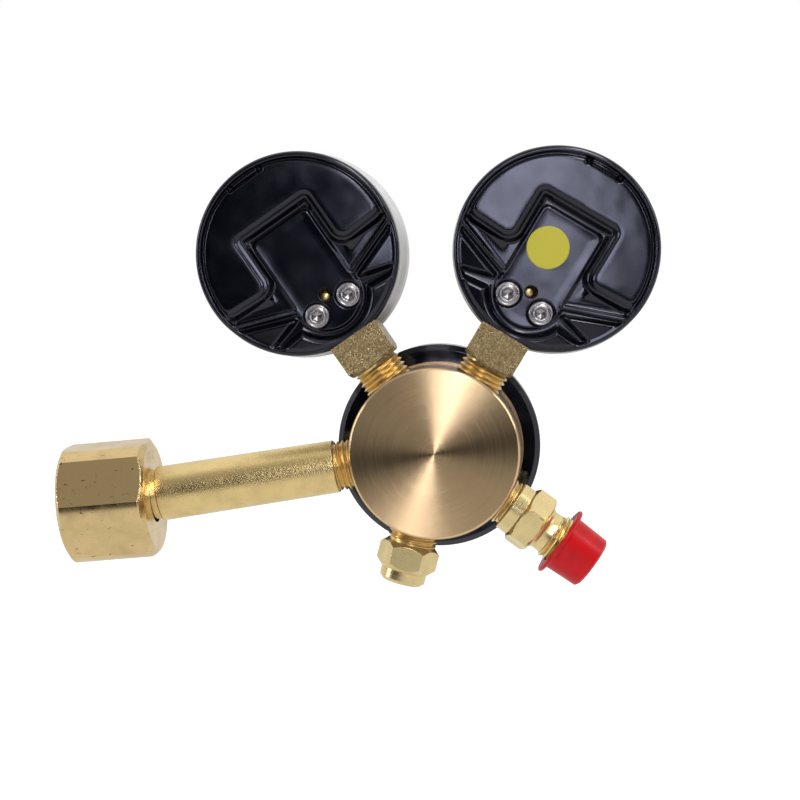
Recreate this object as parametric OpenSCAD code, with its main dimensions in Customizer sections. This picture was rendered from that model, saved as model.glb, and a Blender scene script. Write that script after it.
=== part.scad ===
// Two-gauge gas cylinder regulator, lying with its inlet along +X, knob and dials towards -Y.
// Origin: centre of the inlet nipple's seat face, on the axis of the union nut.

/* [Layout] */
// Distance from the inlet seat to the middle of the body
reach = 86; // [82:0.5:110]
// Direction of the high pressure gauge, seen from behind, anticlockwise from the right
supply_angle = 115.5; // [112:0.5:120]
// Direction of the low pressure gauge
delivery_angle = 50; // [46:0.5:54]
// Direction of the outlet
outlet_angle = -45; // [-52:0.5:-38]
// Direction of the relief valve
relief_angle = -114; // [-122:0.5:-106]

/* [Body] */
// Diameter of the turned brass body
body_d = 45; // [44:0.5:47]
// Port plane to the rear face
body_rear = 9.5; // [9.5:0.5:14]
// Port plane to the brass flange in front of the ports
body_front = 11.5; // [10:0.5:14]
// Diameter of the brass flange
flange_d = 46.4; // [46:0.2:51]
// Thickness of the brass flange
flange_t = 3.5; // [2:0.5:5]
// Diameter of the boss that the bonnet screws onto
boss_d = 45.4; // [44.6:0.2:45.8]
// Length of that boss
boss_len = 6; // [4:0.5:8]
// Diameter of the low pressure chamber
chamber_d = 32; // [30:0.5:36]
// Depth of the low pressure chamber
chamber_depth = 8; // [7:0.5:8.5]
// Diameter of the high pressure chamber
supply_chamber_d = 10.4; // [9:0.2:11]
// Port plane to the bottom of the high pressure chamber
supply_chamber_rear = 7; // [6:0.5:7.5]
// Diameter of the gas passages to the ports
passage_d = 4; // [2:0.5:4.5]
// Distance of the low pressure passages from the axis
passage_at = 14; // [13.6:0.1:14.2]
// Small chamfer on turned edges
edge = 0.6; // [0.3:0.1:1]

/* [Ports and threads] */
// Outer diameter of the G 1/4 threads
port_d = 13; // [12.8:0.1:13.3]
// Diameter at the root of those threads, where they show between a fitting and the body
thread_root_d = 11.6; // [11:0.1:12]
// Middle of the body to the bottom of a port
port_floor = 12.4; // [12.2:0.1:13]
// Length of a male thread that screws into a port
thread_len = 12.6; // [10:0.2:13]
// Gap round a screwed or pushed fit
fit_gap = 0.06; // [0.02:0.01:0.09]
// Gap between flat faces of pieces that move
face_gap = 0.1; // [0.05:0.05:0.2]

/* [Bonnet] */
// Outer diameter of the bonnet's rear ring
bonnet_d = 55.5; // [54:0.5:58]
// Length of that ring
ring_len = 11; // [9:0.5:14]
// Bevel on the ring's rear edge
ring_bevel = 1.4; // [0.5:0.1:2]
// Outer diameter of the bonnet's barrel
barrel_d = 48; // [44:0.5:50]
// Length of the bonnet from its rear edge to its front face
bonnet_len = 42; // [40:0.5:50]
// Thickness of the bonnet's front wall
front_wall = 4; // [3:0.5:6]
// Diameter of the spring chamber
spring_chamber_d = 31; // [28:0.5:31.5]
// Width of the two guide grooves
groove_w = 6; // [5:0.5:8]
// Depth of the guide grooves
groove_depth = 3; // [2:0.25:3.5]

/* [Diaphragm] */
// Thickness of the diaphragm
diaphragm_t = 0.8; // [0.4:0.1:1.2]
// Thickness of the slip ring
slip_ring_t = 1.2; // [0.8:0.1:2]
// Diameter of the diaphragm plate
plate_d = 27; // [24:0.5:29]
// Thickness of the diaphragm plate
plate_t = 2.5; // [2:0.1:3.5]
// Height of the spigots that centre the main spring
spigot_h = 2.5; // [1.5:0.1:3.5]

/* [Main spring] */
// Wire diameter of the main spring
wire_d = 3; // [2:0.1:3.4]
// Mean diameter of the main spring
coil_d = 22; // [20:0.5:23.5]
// Turns of the main spring
coil_turns = 5.5; // [4:0.5:6]
// Height of the main spring with the knob wound back
spring_h = 20; // [19:0.5:22]

/* [Valve] */
// Thread diameter of the valve nozzle
nozzle_d = 14; // [12:0.2:15]
// Port plane to the inner end of the nozzle
nozzle_seat = 3; // [2.5:0.1:3.5]
// Across flats of the nozzle's hexagon
nozzle_af = 13; // [12:0.5:14]
// Height of the nozzle's hexagon
nozzle_hex_h = 3.4; // [2:0.2:4]
// Diameter of the nozzle's orifice
orifice_d = 3.4; // [3:0.1:3.8]
// Length of that orifice
orifice_len = 3; // [2:0.5:4]
// Diameter of the valve pin
pin_d = 2.2; // [1.6:0.1:2.4]
// Diameter of the button that the diaphragm rests on
button_d = 6; // [4:0.5:8]
// Thickness of that button
button_t = 1.5; // [1:0.1:2]
// Diameter of the poppet
poppet_d = 6.6; // [6:0.1:7.4]
// Length of the poppet
poppet_len = 5; // [4:0.1:5.4]
// Thickness of the poppet's seal
seal_t = 1; // [0.6:0.1:1.4]

/* [Knob] */
// Diameter of the adjusting knob at its rear edge
knob_d = 47; // [40:0.5:50]
// Length of the adjusting knob
knob_len = 28; // [26:0.5:36]
// Number of grip flutes
flutes = 18; // [10:1:24]
// Radius of a grip flute
flute_r = 2.2; // [1.5:0.1:2.6]
// Diameter of the knob's front cap
cap_disc_d = 26; // [20:0.5:30]

/* [Adjusting screw] */
// Thread diameter of the adjusting screw
screw_d = 8; // [6:0.5:9]
// Length of thread behind the screw's collar
screw_len = 19; // [17:0.5:20]
// Journal diameter of the screw in the bonnet's front wall
journal_d = 10; // [9:0.5:11]
// Diameter of the screw's thrust collar
collar_d = 16; // [14:0.5:18]
// Thickness of the follower
follower_t = 5; // [4:0.5:6]

/* [Inlet] */
// Tube diameter next to the body
tube_d1 = 14; // [13.4:0.1:15]
// Tube diameter next to the nut
tube_d2 = 14.6; // [13.6:0.1:15]
// Middle of the body to the start of the tube
tube_start = 27; // [26:0.1:29]
// Length of the nipple's shank between the tube and the nipple's collar
shank_len = 7; // [6.6:0.1:9]
// Bore of the inlet tube
tube_bore = 5; // [4:0.5:6]
// Shank diameter of the nipple
shank_d = 13.2; // [12:0.1:13.8]
// Collar diameter of the nipple
nipple_d = 18.2; // [17:0.1:18.8]
// Collar thickness of the nipple
nipple_t = 4; // [3:0.2:5]
// Diameter of the filter
filter_d = 7.8; // [6:0.1:8.4]
// Length of the filter
filter_len = 7; // [4:0.5:8]

/* [Inlet nut] */
// Across flats of the union nut
nut_af = 30; // [29:0.5:31]
// Diameter that the nut's corners are turned to
nut_d = 32.5; // [31:0.1:33.5]
// Length of the nut
nut_len = 23.5; // [22.5:0.5:26]
// Thickness of the wall behind the nipple's collar
nut_wall = 3.4; // [2.5:0.1:3.8]
// Minor diameter of the W21.8 thread
nut_thread_d = 19.48; // [19.2:0.02:20]
// Turn of the union nut at rest
nut_turn = 25; // [0:1:59]
// Depth from the nut's mouth to the nipple's seat
nut_depth = 14; // [13:0.5:15]
// Chamfer at the nut's mouth
nut_chamfer = 1; // [0.5:0.1:1.5]

/* [Outlet] */
// Middle of the body to the outlet's collar
outlet_start = 24.2; // [23.6:0.1:25]
// Diameter of the outlet's collar
outlet_collar_d = 13.8; // [13:0.1:14.4]
// Length of the outlet's collar
outlet_collar_len = 3.6; // [2:0.1:5]
// Across flats of the outlet's hexagon
outlet_af = 15; // [14:0.5:16]
// Length of the outlet's hexagon
outlet_hex_len = 6.5; // [5:0.5:8]
// Turn of the outlet's hexagon about its port, a corner from the back
outlet_hex_turn = 10.8; // [0:0.1:60]
// Neck diameter behind the hose thread
outlet_neck_d = 11.2; // [10:0.2:12]
// Length of that neck
outlet_neck_len = 3.4; // [2:0.2:5]
// Length of the hose thread
hose_thread_len = 11.5; // [10:0.5:12]
// Bore of the outlet
outlet_bore = 5; // [4:0.5:6]

/* [Outlet cap] */
// Flange diameter of the soft cap
cap_flange_d = 19.4; // [18:0.2:21]
// Thickness of the cap's flange
cap_flange_t = 1; // [0.9:0.1:2]
// Diameter of the cap next to its flange
cap_d1 = 15.4; // [15:0.1:16]
// Diameter of the cap at its closed end
cap_d2 = 14.5; // [14.2:0.1:15]
// Length of the cap
cap_len = 10.8; // [10.5:0.1:13]
// Thickness of the cap's closed end
cap_end_t = 1.5; // [1:0.1:1.5]

/* [Relief valve] */
// Middle of the body to the relief valve's hexagon
relief_start = 25.4; // [25:0.1:27]
// Across flats of the relief valve's hexagon
relief_af = 14; // [13:0.5:15]
// Length of the hexagon with its chamfers
relief_hex_len = 7.4; // [6:0.2:9]
// Diameter of the relief valve's end cap
relief_cap_d = 12.2; // [11.6:0.1:12.8]
// Length of the end cap outside the hexagon
relief_cap_len = 3.4; // [3:0.1:6]
// Diameter of the vent hole in the end cap
relief_vent_d = 2; // [1:0.2:4]
// Diameter of the relief valve's inner chamber
relief_chamber_d = 9; // [8.4:0.1:9.4]
// Diameter of the relief poppet
relief_poppet_d = 7.6; // [7:0.1:8]

/* [Gauge] */
// Middle of the body to the lower face of the high pressure gauge's block
supply_block_at = 28.1; // [26.4:0.1:30]
// Middle of the body to the lower face of the low pressure gauge's block
delivery_block_at = 26.6; // [26.4:0.1:29]
// Length of the gauge's square block below the case
block_len = 8.3; // [8:0.1:12]
// Width of the gauge's square block
block_w = 14; // [13:0.5:14.5]
// Diameter of the dial
dial_d = 49; // [46:0.5:50]
// Edge of the dial to the outside of the stamped back
case_wall = 2.3; // [2.3:0.1:3]
// How far the bezel stands out beyond the stamped back
bezel_proud = 0.9; // [0.5:0.1:1.5]
// Port plane to the rear edge of the stamped back
back_at = 8; // [7.5:0.1:9]
// Depth of the stamped back's floor below its rear edge
back_depth = 3.4; // [2.4:0.1:3.6]
// Length of the case's plain flank, from the rear edge to the bezel
flank_len = 18; // [15:0.5:19]
// Port plane to the front of the bezel
gauge_front = 20; // [19:0.5:23]
// Thickness of the gauge's sheet metal
sheet = 0.8; // [0.5:0.1:1]
// Thickness of the window
window_t = 1.6; // [1:0.1:2]
// Port plane to the rear of the dial
dial_at = 10.4; // [10.2:0.1:11.5]
// Distance between the two back screws
screw_gap = 10; // [9:0.2:11]
// Middle of the gauge to the back screws
screw_at = 16.3; // [15.5:0.1:16.6]
// Head diameter of the back screws
screw_head_d = 6.2; // [5.6:0.1:6.4]
// Height of those heads
screw_head_h = 1.8; // [1.4:0.1:2]
// Thread diameter of the back screws
back_screw_d = 3; // [2.5:0.1:3]
// Diameter of the vent hole
vent_d = 3.5; // [3:0.1:4]
// Middle of the gauge to the vent hole
vent_at = 12.8; // [12:0.1:13]
// Bore of the gauge socket
socket_bore = 3; // [2:0.2:4]
// Width of the raised crescent at the foot of the stamped back
foot_w = 41; // [36:0.5:43]
// Middle of the gauge to the top of that crescent
foot_top = 16.6; // [15:0.1:18]
// Radius of the hollow in that crescent, round the screws
foot_hollow_r = 9.8; // [9:0.1:11]
// Middle of the gauge to the middle of that hollow
foot_hollow_at = 12; // [11:0.1:13]
// Middle of the gauge to the inner end of a wing rib
wing_from = 10.4; // [10:0.1:13]
// Middle of the gauge to the outer end of a wing rib
wing_to = 24.6; // [20:0.2:26]

/* [Gauge movement] */
// Mean diameter of the curved pressure tube
bourdon_d = 36; // [34:0.5:38]
// Tooth module of the sector and pinion
tooth_module = 0.25; // [0.25:0.01:0.26]
// Teeth of the pinion
pinion_teeth = 10; // [10:1:11]
// Teeth of the whole circle that the sector is cut from
sector_teeth = 70; // [68:1:72]
// Travel of the pointer in degrees
pointer_sweep = 270; // [240:5:270]
// Length of the sector's tail
tail_len = 5; // [4.5:0.1:5.5]
// Width of the movement's plates
movement_w = 12; // [11:0.5:13]
// Middle of the dial to the top edge of the movement's plates
movement_top = 4.5; // [4:0.1:5]
// Middle of the dial to the bottom edge of the movement's plates
movement_low = 13.5; // [13:0.1:14]
// Length of the pointer from the middle of the dial
pointer_len = 19; // [17:0.5:21]
// Diameter of the movement's shafts
shaft_d = 1.6; // [1.4:0.1:1.8]

/* [Hidden] */
$fn = 48;

body_r = body_d / 2;
boss_r = boss_d / 2;
port_r = port_d / 2;
root_r = thread_root_d / 2;
port_mouth = 21.3;

// Stations along the main axis, counted from the port plane towards the knob
bonnet_at = body_front + flange_t;
boss_end = bonnet_at + boss_len;
chamber_floor = boss_end - chamber_depth;
slip_ring_at = boss_end + diaphragm_t;
shoulder_at = slip_ring_at + slip_ring_t;
plate_front = slip_ring_at + plate_t;
follower_at = plate_front + spring_h;
bonnet_front = bonnet_at + bonnet_len;
wall_at = bonnet_front - front_wall;
washer_t = 1;
collar_t = 2;
collar_at = wall_at - washer_t - collar_t - 2 * face_gap;
knob_at = bonnet_front + 0.8;
knob_front = knob_at + knob_len;
hub_front = knob_at + 12;
screw_hex = 8;
screw_stud_d = 5;
knob_nut_t = 3;
follower_d = spring_chamber_d - 2.4;
spigot_d = coil_d - wire_d - 1.2;
spring_touch = 0.05;
nozzle_front = chamber_floor + nozzle_hex_h;
poppet_front = nozzle_seat - 0.05;
poppet_rear = poppet_front - poppet_len;
bonnet_bore_r = boss_r + fit_gap;
slip_ring_r = bonnet_bore_r - 0.3;
ring_end = bonnet_at + ring_len;
knob_recess = 4;

// Stations along the ports, counted from the middle of the body
seat_at = reach;
tube_end = seat_at - nipple_t - shank_len;
nut_front = seat_at + nut_depth;
nut_rear = nut_front - nut_len;
nut_floor = nut_rear + nut_wall;
nut_relief_r = nut_thread_d / 2 + 0.8;
filter_pocket = filter_len + 2;
spigot_len = 8;
spigot_r = tube_bore / 2 + 2;
seal_r = filter_d / 2 + 3;
seal_pocket = 1.5;
hex_at = outlet_start + outlet_collar_len;
neck_at = hex_at + outlet_hex_len;
hose_at = neck_at + outlet_neck_len;
hose_end = hose_at + hose_thread_len;
cap_at = hose_end + 0.3 + cap_end_t - cap_len;
hose_r = port_r;
relief_hex_end = relief_start + relief_hex_len;
relief_end = relief_hex_end + relief_cap_len;
relief_seat = relief_start - 6;
relief_cap_in = 4;
relief_poppet_t = 5;

// Gauge stations, counted from the port plane towards the dial
back_r = dial_d / 2 + case_wall;
bezel_r = back_r + bezel_proud;
block_to_dial = block_len + back_r;
back_floor = -back_at + back_depth;
back_plate = back_floor + sheet;
skirt_end = back_floor + 2.6;
flank_r = back_r - 0.4;
bezel_rear = -back_at + flank_len;
window_at = gauge_front - 1 - window_t;
pad_w = 17;
pad_top = 8.4;
socket_rear = back_plate + 0.02;
socket_front = 1.5;
socket_top = -10.4;
// The socket's bore ends here, below the middle of the gauge
socket_bore_end = 15;
socket_low = -21;
block_inside = back_r - 1.5;
neck_inside = block_inside - 2.2;
movement_rear = socket_front;
plate_gauge = 0.9;
front_plate_at = 7.4;
sector_at = 4.3;
sector_t = 0.8;
link_at = sector_at - 0.9;
link_t = 0.7;
tip_at = link_at - 1;
pinion_r = tooth_module * pinion_teeth / 2;
sector_r = tooth_module * sector_teeth / 2;
sector_pivot = [0, -pinion_r - sector_r];
sector_sweep = pointer_sweep * pinion_teeth / sector_teeth;
shaft_gap = 0.05;
tip_angle = -25;
tube_foot_angle = 180 + acos((pad_w / 2 + fit_gap) / (bourdon_d / 2 - 0.9));
tip_pin = (bourdon_d / 2 - 3.4) * [cos(tip_angle), sin(tip_angle)];
tip_away = tip_pin - sector_pivot;
// The tail stands square to the link at mid travel, so that the link hardly turns
tail_angle = atan2(tip_away[1], tip_away[0]) - acos(tail_len / norm(tip_away)) - sector_sweep / 2;
tail_end = sector_pivot + tail_len * [cos(tail_angle), sin(tail_angle)];
pointer_rest = 225;

// Places children on the main axis, with their Z axis towards the knob
module on_axis(at = 0) {
    translate([-reach, 0, 0]) rotate([90, 0, 0]) translate([0, 0, at]) children();
}

// Places children with their Z axis outwards along a port
module at_port(angle) {
    translate([-reach, 0, 0]) rotate([0, angle - 90, 0]) children();
}

// Places children flat on a gauge, X and Y in the dial's plane and Z towards the dial's front
module on_gauge(angle, block_at) {
    at_port(angle) translate([0, 0, block_at + block_to_dial]) rotate([90, 0, 0]) children();
}

module ring(outer_r, inner_r, h) {
    difference() {
        cylinder(r = outer_r, h = h);
        translate([0, 0, -1]) cylinder(r = inner_r, h = h + 2);
    }
}

// Hexagon with its corners turned to a diameter and both ends chamfered
module turned_hex(af, corner_d, h, chamfer_r, chamfer_h) {
    intersection() {
        cylinder(d = af / cos(30), h = h, $fn = 6);
        rotate_extrude() polygon([
            [0, 0], [corner_d / 2 - chamfer_r, 0], [corner_d / 2, chamfer_h],
            [corner_d / 2, h - chamfer_h], [corner_d / 2 - chamfer_r, h], [0, h]
        ]);
    }
}

// Height of the wire's centre after some turns, with one closed turn at each end
function coil_z(turn, turns, travel, pitch) =
    turn < 1 ? turn * pitch :
    turn > turns - 1 ? travel - (turns - turn) * pitch :
    pitch + (turn - 1) * (travel - 2 * pitch) / (turns - 2);

// Coil spring swept as one closed skin, standing on z = 0
module coil_spring(mean_r, wire_r, h, turns, per_turn, sides) {
    steps = round(turns * per_turn);
    travel = h - 2 * wire_r;
    pitch = 2 * wire_r * 1.04;
    points = [
        for (i = [0:steps], k = [0:sides - 1])
            let (
                turn = i / per_turn,
                r = mean_r + wire_r * cos(360 * k / sides),
                z = wire_r + coil_z(turn, turns, travel, pitch) + wire_r * sin(360 * k / sides)
            ) [r * cos(360 * turn), r * sin(360 * turn), z]
    ];
    walls = [
        for (i = [0:steps - 1], k = [0:sides - 1])
            let (next = (k + 1) % sides, a = i * sides, b = a + sides)
            each [[a + k, b + k, a + next], [a + next, b + k, b + next]]
    ];
    first = [for (k = [0:sides - 1]) k];
    last = [for (k = [sides - 1:-1:0]) steps * sides + k];
    polyhedron(points, concat(walls, [first, last]));
}

module body() {
    color([0.72, 0.56, 0.36]) difference() {
        on_axis() rotate_extrude() polygon([
            [0, -body_rear], [body_r - edge, -body_rear], [body_r, -body_rear + edge],
            [body_r, body_front], [flange_d / 2, body_front], [flange_d / 2, bonnet_at],
            [boss_r, bonnet_at], [boss_r, boss_end], [chamber_d / 2, boss_end],
            [chamber_d / 2, chamber_floor], [nozzle_d / 2 + fit_gap, chamber_floor],
            [nozzle_d / 2 + fit_gap, nozzle_seat], [supply_chamber_d / 2, nozzle_seat],
            [supply_chamber_d / 2, -supply_chamber_rear], [0, -supply_chamber_rear]
        ]);
        for (angle = [180, supply_angle, delivery_angle, outlet_angle, relief_angle])
            at_port(angle) translate([0, 0, port_floor]) cylinder(r = port_r + fit_gap, h = body_r);
        for (angle = [180, supply_angle])
            at_port(angle) cylinder(d = passage_d, h = port_floor + 1);
        for (angle = [delivery_angle, outlet_angle, relief_angle])
            on_axis() rotate([0, 0, 180 - angle]) translate([passage_at, 0, 0])
                cylinder(d = passage_d * 0.75, h = chamber_floor + 1);
    }
}

module bonnet() {
    color([0.06, 0.06, 0.07]) on_axis() difference() {
        rotate_extrude() polygon([
            [bonnet_bore_r, bonnet_at], [bonnet_d / 2 - ring_bevel, bonnet_at],
            [bonnet_d / 2, bonnet_at + ring_bevel], [bonnet_d / 2, ring_end],
            [barrel_d / 2, ring_end + 3], [barrel_d / 2, bonnet_front - 1.5],
            [barrel_d / 2 - 1.5, bonnet_front], [journal_d / 2 + fit_gap, bonnet_front],
            [journal_d / 2 + fit_gap, wall_at], [spring_chamber_d / 2, wall_at],
            [spring_chamber_d / 2, shoulder_at], [bonnet_bore_r, shoulder_at]
        ]);
        for (side = [0, 180])
            rotate([0, 0, side]) translate([0, -groove_w / 2, shoulder_at + 4])
                cube([spring_chamber_d / 2 + groove_depth, groove_w, wall_at - shoulder_at - 4]);
        for (side = [0:30:330])
            rotate([0, 0, side]) translate([barrel_d / 2 + 1.2, 0, ring_end + 4])
                cylinder(r = 2, h = bonnet_front);
    }
}

module slip_ring() {
    color([0.75, 0.62, 0.35]) on_axis(slip_ring_at)
        ring(slip_ring_r, chamber_d / 2, slip_ring_t);
}

module diaphragm() {
    color([0.12, 0.12, 0.12]) on_axis(boss_end) cylinder(r = slip_ring_r, h = diaphragm_t);
}

module diaphragm_plate() {
    color([0.7, 0.7, 0.72]) on_axis(slip_ring_at) {
        cylinder(d = plate_d, h = plate_t);
        cylinder(d = spigot_d, h = plate_t + spigot_h);
    }
}

module main_spring() {
    color([0.35, 0.36, 0.38]) on_axis(plate_front + spring_touch)
        coil_spring(coil_d / 2, wire_d / 2, spring_h - 2 * spring_touch, coil_turns, 20, 8);
}

module valve_nozzle() {
    color([0.8, 0.65, 0.35]) on_axis() difference() {
        union() {
            translate([0, 0, nozzle_seat]) cylinder(d = nozzle_d, h = chamber_floor - nozzle_seat);
            translate([0, 0, chamber_floor])
                turned_hex(nozzle_af, nozzle_af * 1.1, nozzle_hex_h, 0.5, 0.5);
        }
        translate([0, 0, nozzle_seat - 1]) cylinder(d = orifice_d, h = nozzle_front);
        translate([0, 0, nozzle_seat + orifice_len])
            cylinder(d = orifice_d + 2.4, h = nozzle_front);
    }
}

module valve_pin() {
    color([0.75, 0.75, 0.77]) on_axis() {
        translate([0, 0, poppet_front - seal_t + face_gap])
            cylinder(d = pin_d, h = boss_end - poppet_front + seal_t - 2 * face_gap);
        translate([0, 0, boss_end - face_gap - button_t]) cylinder(d = button_d, h = button_t);
    }
}

module poppet() {
    color([0.8, 0.65, 0.35]) on_axis(poppet_rear) difference() {
        cylinder(d = poppet_d, h = poppet_len);
        translate([0, 0, poppet_len - seal_t]) cylinder(d = poppet_d - 1.2, h = poppet_len);
    }
}

module poppet_seal() {
    color([0.9, 0.9, 0.85]) on_axis(poppet_front - seal_t)
        ring(poppet_d / 2 - 0.6 - fit_gap, pin_d / 2 + fit_gap, seal_t);
}

module poppet_spring() {
    color([0.7, 0.7, 0.72]) on_axis(-supply_chamber_rear + spring_touch)
        coil_spring(2.7, 0.4, poppet_rear + supply_chamber_rear - 2 * spring_touch, 4, 12, 6);
}

module spring_follower() {
    color([0.8, 0.65, 0.35]) on_axis(follower_at) difference() {
        union() {
            cylinder(d = follower_d, h = follower_t);
            translate([0, 0, -spigot_h]) cylinder(d = spigot_d, h = spigot_h + 1);
            translate([-spring_chamber_d / 2 - groove_depth + 0.5, -groove_w / 2 + 0.3, 0])
                cube([spring_chamber_d + 2 * groove_depth - 1, groove_w - 0.6, follower_t]);
        }
        translate([0, 0, -spigot_h - 1])
            cylinder(d = screw_d + 2 * fit_gap, h = follower_t + spigot_h + 2);
    }
}

module adjusting_screw() {
    color([0.78, 0.78, 0.8]) on_axis() {
        translate([0, 0, collar_at - screw_len]) {
            cylinder(d1 = screw_d - 1.4, d2 = screw_d, h = 0.7);
            translate([0, 0, 0.7]) cylinder(d = screw_d, h = screw_len);
        }
        translate([0, 0, collar_at]) cylinder(d = collar_d, h = collar_t);
        translate([0, 0, collar_at + collar_t - 0.5])
            cylinder(d = journal_d, h = knob_at - collar_at - collar_t + 0.5);
        translate([0, 0, knob_at - 0.5])
            cylinder(d = screw_hex / cos(30), h = hub_front - knob_at, $fn = 6);
        translate([0, 0, hub_front - 1]) cylinder(d = screw_stud_d, h = knob_nut_t + 1.5);
    }
}

module thrust_washer() {
    color([0.85, 0.85, 0.8]) on_axis(wall_at - washer_t - face_gap)
        ring(collar_d / 2 + 1, journal_d / 2 + 0.3, washer_t);
}

module knob() {
    grip_at = knob_at + 4;
    grip_end = knob_front - 4;
    nose_r = knob_d / 2 - 2;
    color([0.07, 0.07, 0.08]) on_axis() difference() {
        union() {
            rotate_extrude() polygon([
                [0, knob_at], [knob_d / 2 - 1, knob_at], [knob_d / 2, knob_at + 1],
                [knob_d / 2, grip_at], [0, grip_at]
            ]);
            translate([0, 0, grip_at]) linear_extrude(grip_end - grip_at) difference() {
                circle(d = knob_d - 0.6, $fn = 96);
                for (i = [0:flutes - 1])
                    rotate(i * 360 / flutes) translate([knob_d / 2 + 0.6, 0]) circle(r = flute_r);
            }
            rotate_extrude() polygon([
                [0, grip_end], [nose_r, grip_end], [nose_r, knob_front - 2],
                [nose_r - 2, knob_front], [0, knob_front]
            ]);
        }
        translate([0, 0, knob_front - knob_recess]) cylinder(d = cap_disc_d + 0.2, h = knob_recess + 1);
        translate([0, 0, hub_front]) cylinder(d = cap_disc_d - 6, h = knob_len);
        translate([0, 0, knob_at - 1])
            cylinder(d = (screw_hex + 2 * fit_gap) / cos(30), h = hub_front - knob_at + 2, $fn = 6);
    }
}

module knob_nut() {
    color([0.78, 0.78, 0.8]) on_axis(hub_front) difference() {
        turned_hex(8, 8.9, knob_nut_t, 0.4, 0.4);
        translate([0, 0, -1]) cylinder(d = screw_stud_d + 2 * fit_gap, h = knob_nut_t + 2);
    }
}

module knob_cap() {
    color([0.1, 0.1, 0.11]) on_axis(knob_front - knob_recess) {
        rotate_extrude() polygon([
            [0, 0], [cap_disc_d / 2, 0], [cap_disc_d / 2, knob_recess - 0.4],
            [cap_disc_d / 2 - 0.8, knob_recess + 0.2], [0, knob_recess + 0.6]
        ]);
    }
}

module inlet_tube() {
    color([0.74, 0.62, 0.36]) at_port(180) rotate_extrude() polygon([
        [tube_bore / 2, tube_start - thread_len - 1], [port_r - 0.8, tube_start - thread_len - 1],
        [port_r, tube_start - thread_len], [port_r, port_mouth], [root_r, port_mouth],
        [root_r, tube_start - 0.4], [tube_d1 / 2 - 0.4, tube_start - 0.4], [tube_d1 / 2, tube_start],
        [tube_d2 / 2, tube_end - 0.3], [tube_d2 / 2 - 0.3, tube_end],
        [spigot_r + fit_gap, tube_end], [spigot_r + fit_gap, tube_end - spigot_len - 0.5],
        [tube_bore / 2, tube_end - spigot_len - 0.5]
    ]);
}

module inlet_nipple() {
    color([0.74, 0.62, 0.36]) at_port(180) rotate_extrude() polygon([
        [tube_bore / 2, tube_end - spigot_len], [spigot_r, tube_end - spigot_len],
        [spigot_r, tube_end], [shank_d / 2, tube_end],
        [shank_d / 2, seat_at - nipple_t], [nipple_d / 2, seat_at - nipple_t],
        [nipple_d / 2, seat_at], [seal_r + 0.05, seat_at],
        [seal_r + 0.05, seat_at - seal_pocket], [filter_d / 2 + 0.1, seat_at - seal_pocket],
        [filter_d / 2 + 0.1, seat_at - filter_pocket], [tube_bore / 2, seat_at - filter_pocket]
    ]);
}

module inlet_seal() {
    color([0.9, 0.9, 0.86]) at_port(180) translate([0, 0, seat_at - seal_pocket])
        ring(seal_r, filter_d / 2 - 0.4, 1.4);
}

module inlet_filter() {
    color([0.62, 0.5, 0.32]) at_port(180) translate([0, 0, seat_at - filter_pocket + 0.02]) {
        cylinder(d = filter_d, h = filter_len - 1.5);
        cylinder(d1 = filter_d - 1.6, d2 = filter_d - 2.4, h = filter_len);
    }
}

module inlet_nut() {
    color([0.76, 0.64, 0.38]) at_port(180) difference() {
        translate([0, 0, nut_rear]) rotate([0, 0, nut_turn])
            turned_hex(nut_af, nut_d, nut_len, 2, 1.2);
        translate([0, 0, nut_rear - 1]) cylinder(d = shank_d + 0.6, h = nut_len);
        translate([0, 0, nut_floor]) cylinder(r = nut_relief_r, h = seat_at - nut_floor);
        translate([0, 0, seat_at - 0.01]) cylinder(d = nut_thread_d, h = nut_len);
        translate([0, 0, nut_front - nut_chamfer])
            cylinder(d1 = nut_thread_d, d2 = nut_thread_d + 2 * nut_chamfer + 0.2, h = nut_chamfer + 0.1);
    }
}

module outlet_adaptor() {
    color([0.78, 0.64, 0.36]) at_port(outlet_angle) difference() {
        union() {
            rotate_extrude() polygon([
                [0, outlet_start - thread_len + 2], [port_r - 0.8, outlet_start - thread_len + 2],
                [port_r, outlet_start - thread_len + 3], [port_r, port_mouth],
                [root_r, port_mouth], [root_r, outlet_start],
                [outlet_collar_d / 2, outlet_start], [outlet_collar_d / 2, hex_at + 1],
                [0, hex_at + 1]
            ]);
            translate([0, 0, hex_at]) rotate([0, 0, outlet_hex_turn])
                turned_hex(outlet_af, outlet_af * 1.13, outlet_hex_len, 1.4, 0.9);
            rotate_extrude() polygon([
                [0, neck_at - 1], [outlet_neck_d / 2 + 0.5, neck_at - 1],
                [outlet_neck_d / 2 + 0.5, neck_at + 0.3], [outlet_neck_d / 2, neck_at + 1],
                [outlet_neck_d / 2, hose_at - 0.8], [hose_r - 0.4, hose_at],
                [hose_r, hose_at + 0.6], [hose_r, hose_end - 0.8], [hose_r - 0.8, hose_end],
                [0, hose_end]
            ]);
        }
        translate([0, 0, outlet_start - thread_len]) cylinder(d = outlet_bore, h = hose_end);
        translate([0, 0, hose_end - 3]) cylinder(d1 = outlet_bore, d2 = outlet_bore + 3.6, h = 3.1);
    }
}

module outlet_cap() {
    color([0.8, 0.05, 0.07]) at_port(outlet_angle) translate([0, 0, cap_at]) rotate_extrude()
        polygon([
            [hose_r + fit_gap, 0], [cap_flange_d / 2 - 0.4, 0], [cap_flange_d / 2, 0.4],
            [cap_flange_d / 2, cap_flange_t - 0.4], [cap_flange_d / 2 - 0.4, cap_flange_t],
            [cap_d1 / 2, cap_flange_t], [cap_d2 / 2, cap_len - 0.6], [cap_d2 / 2 - 0.8, cap_len],
            [0, cap_len], [0, cap_len - cap_end_t], [hose_r + fit_gap, cap_len - cap_end_t]
        ]);
}

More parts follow.
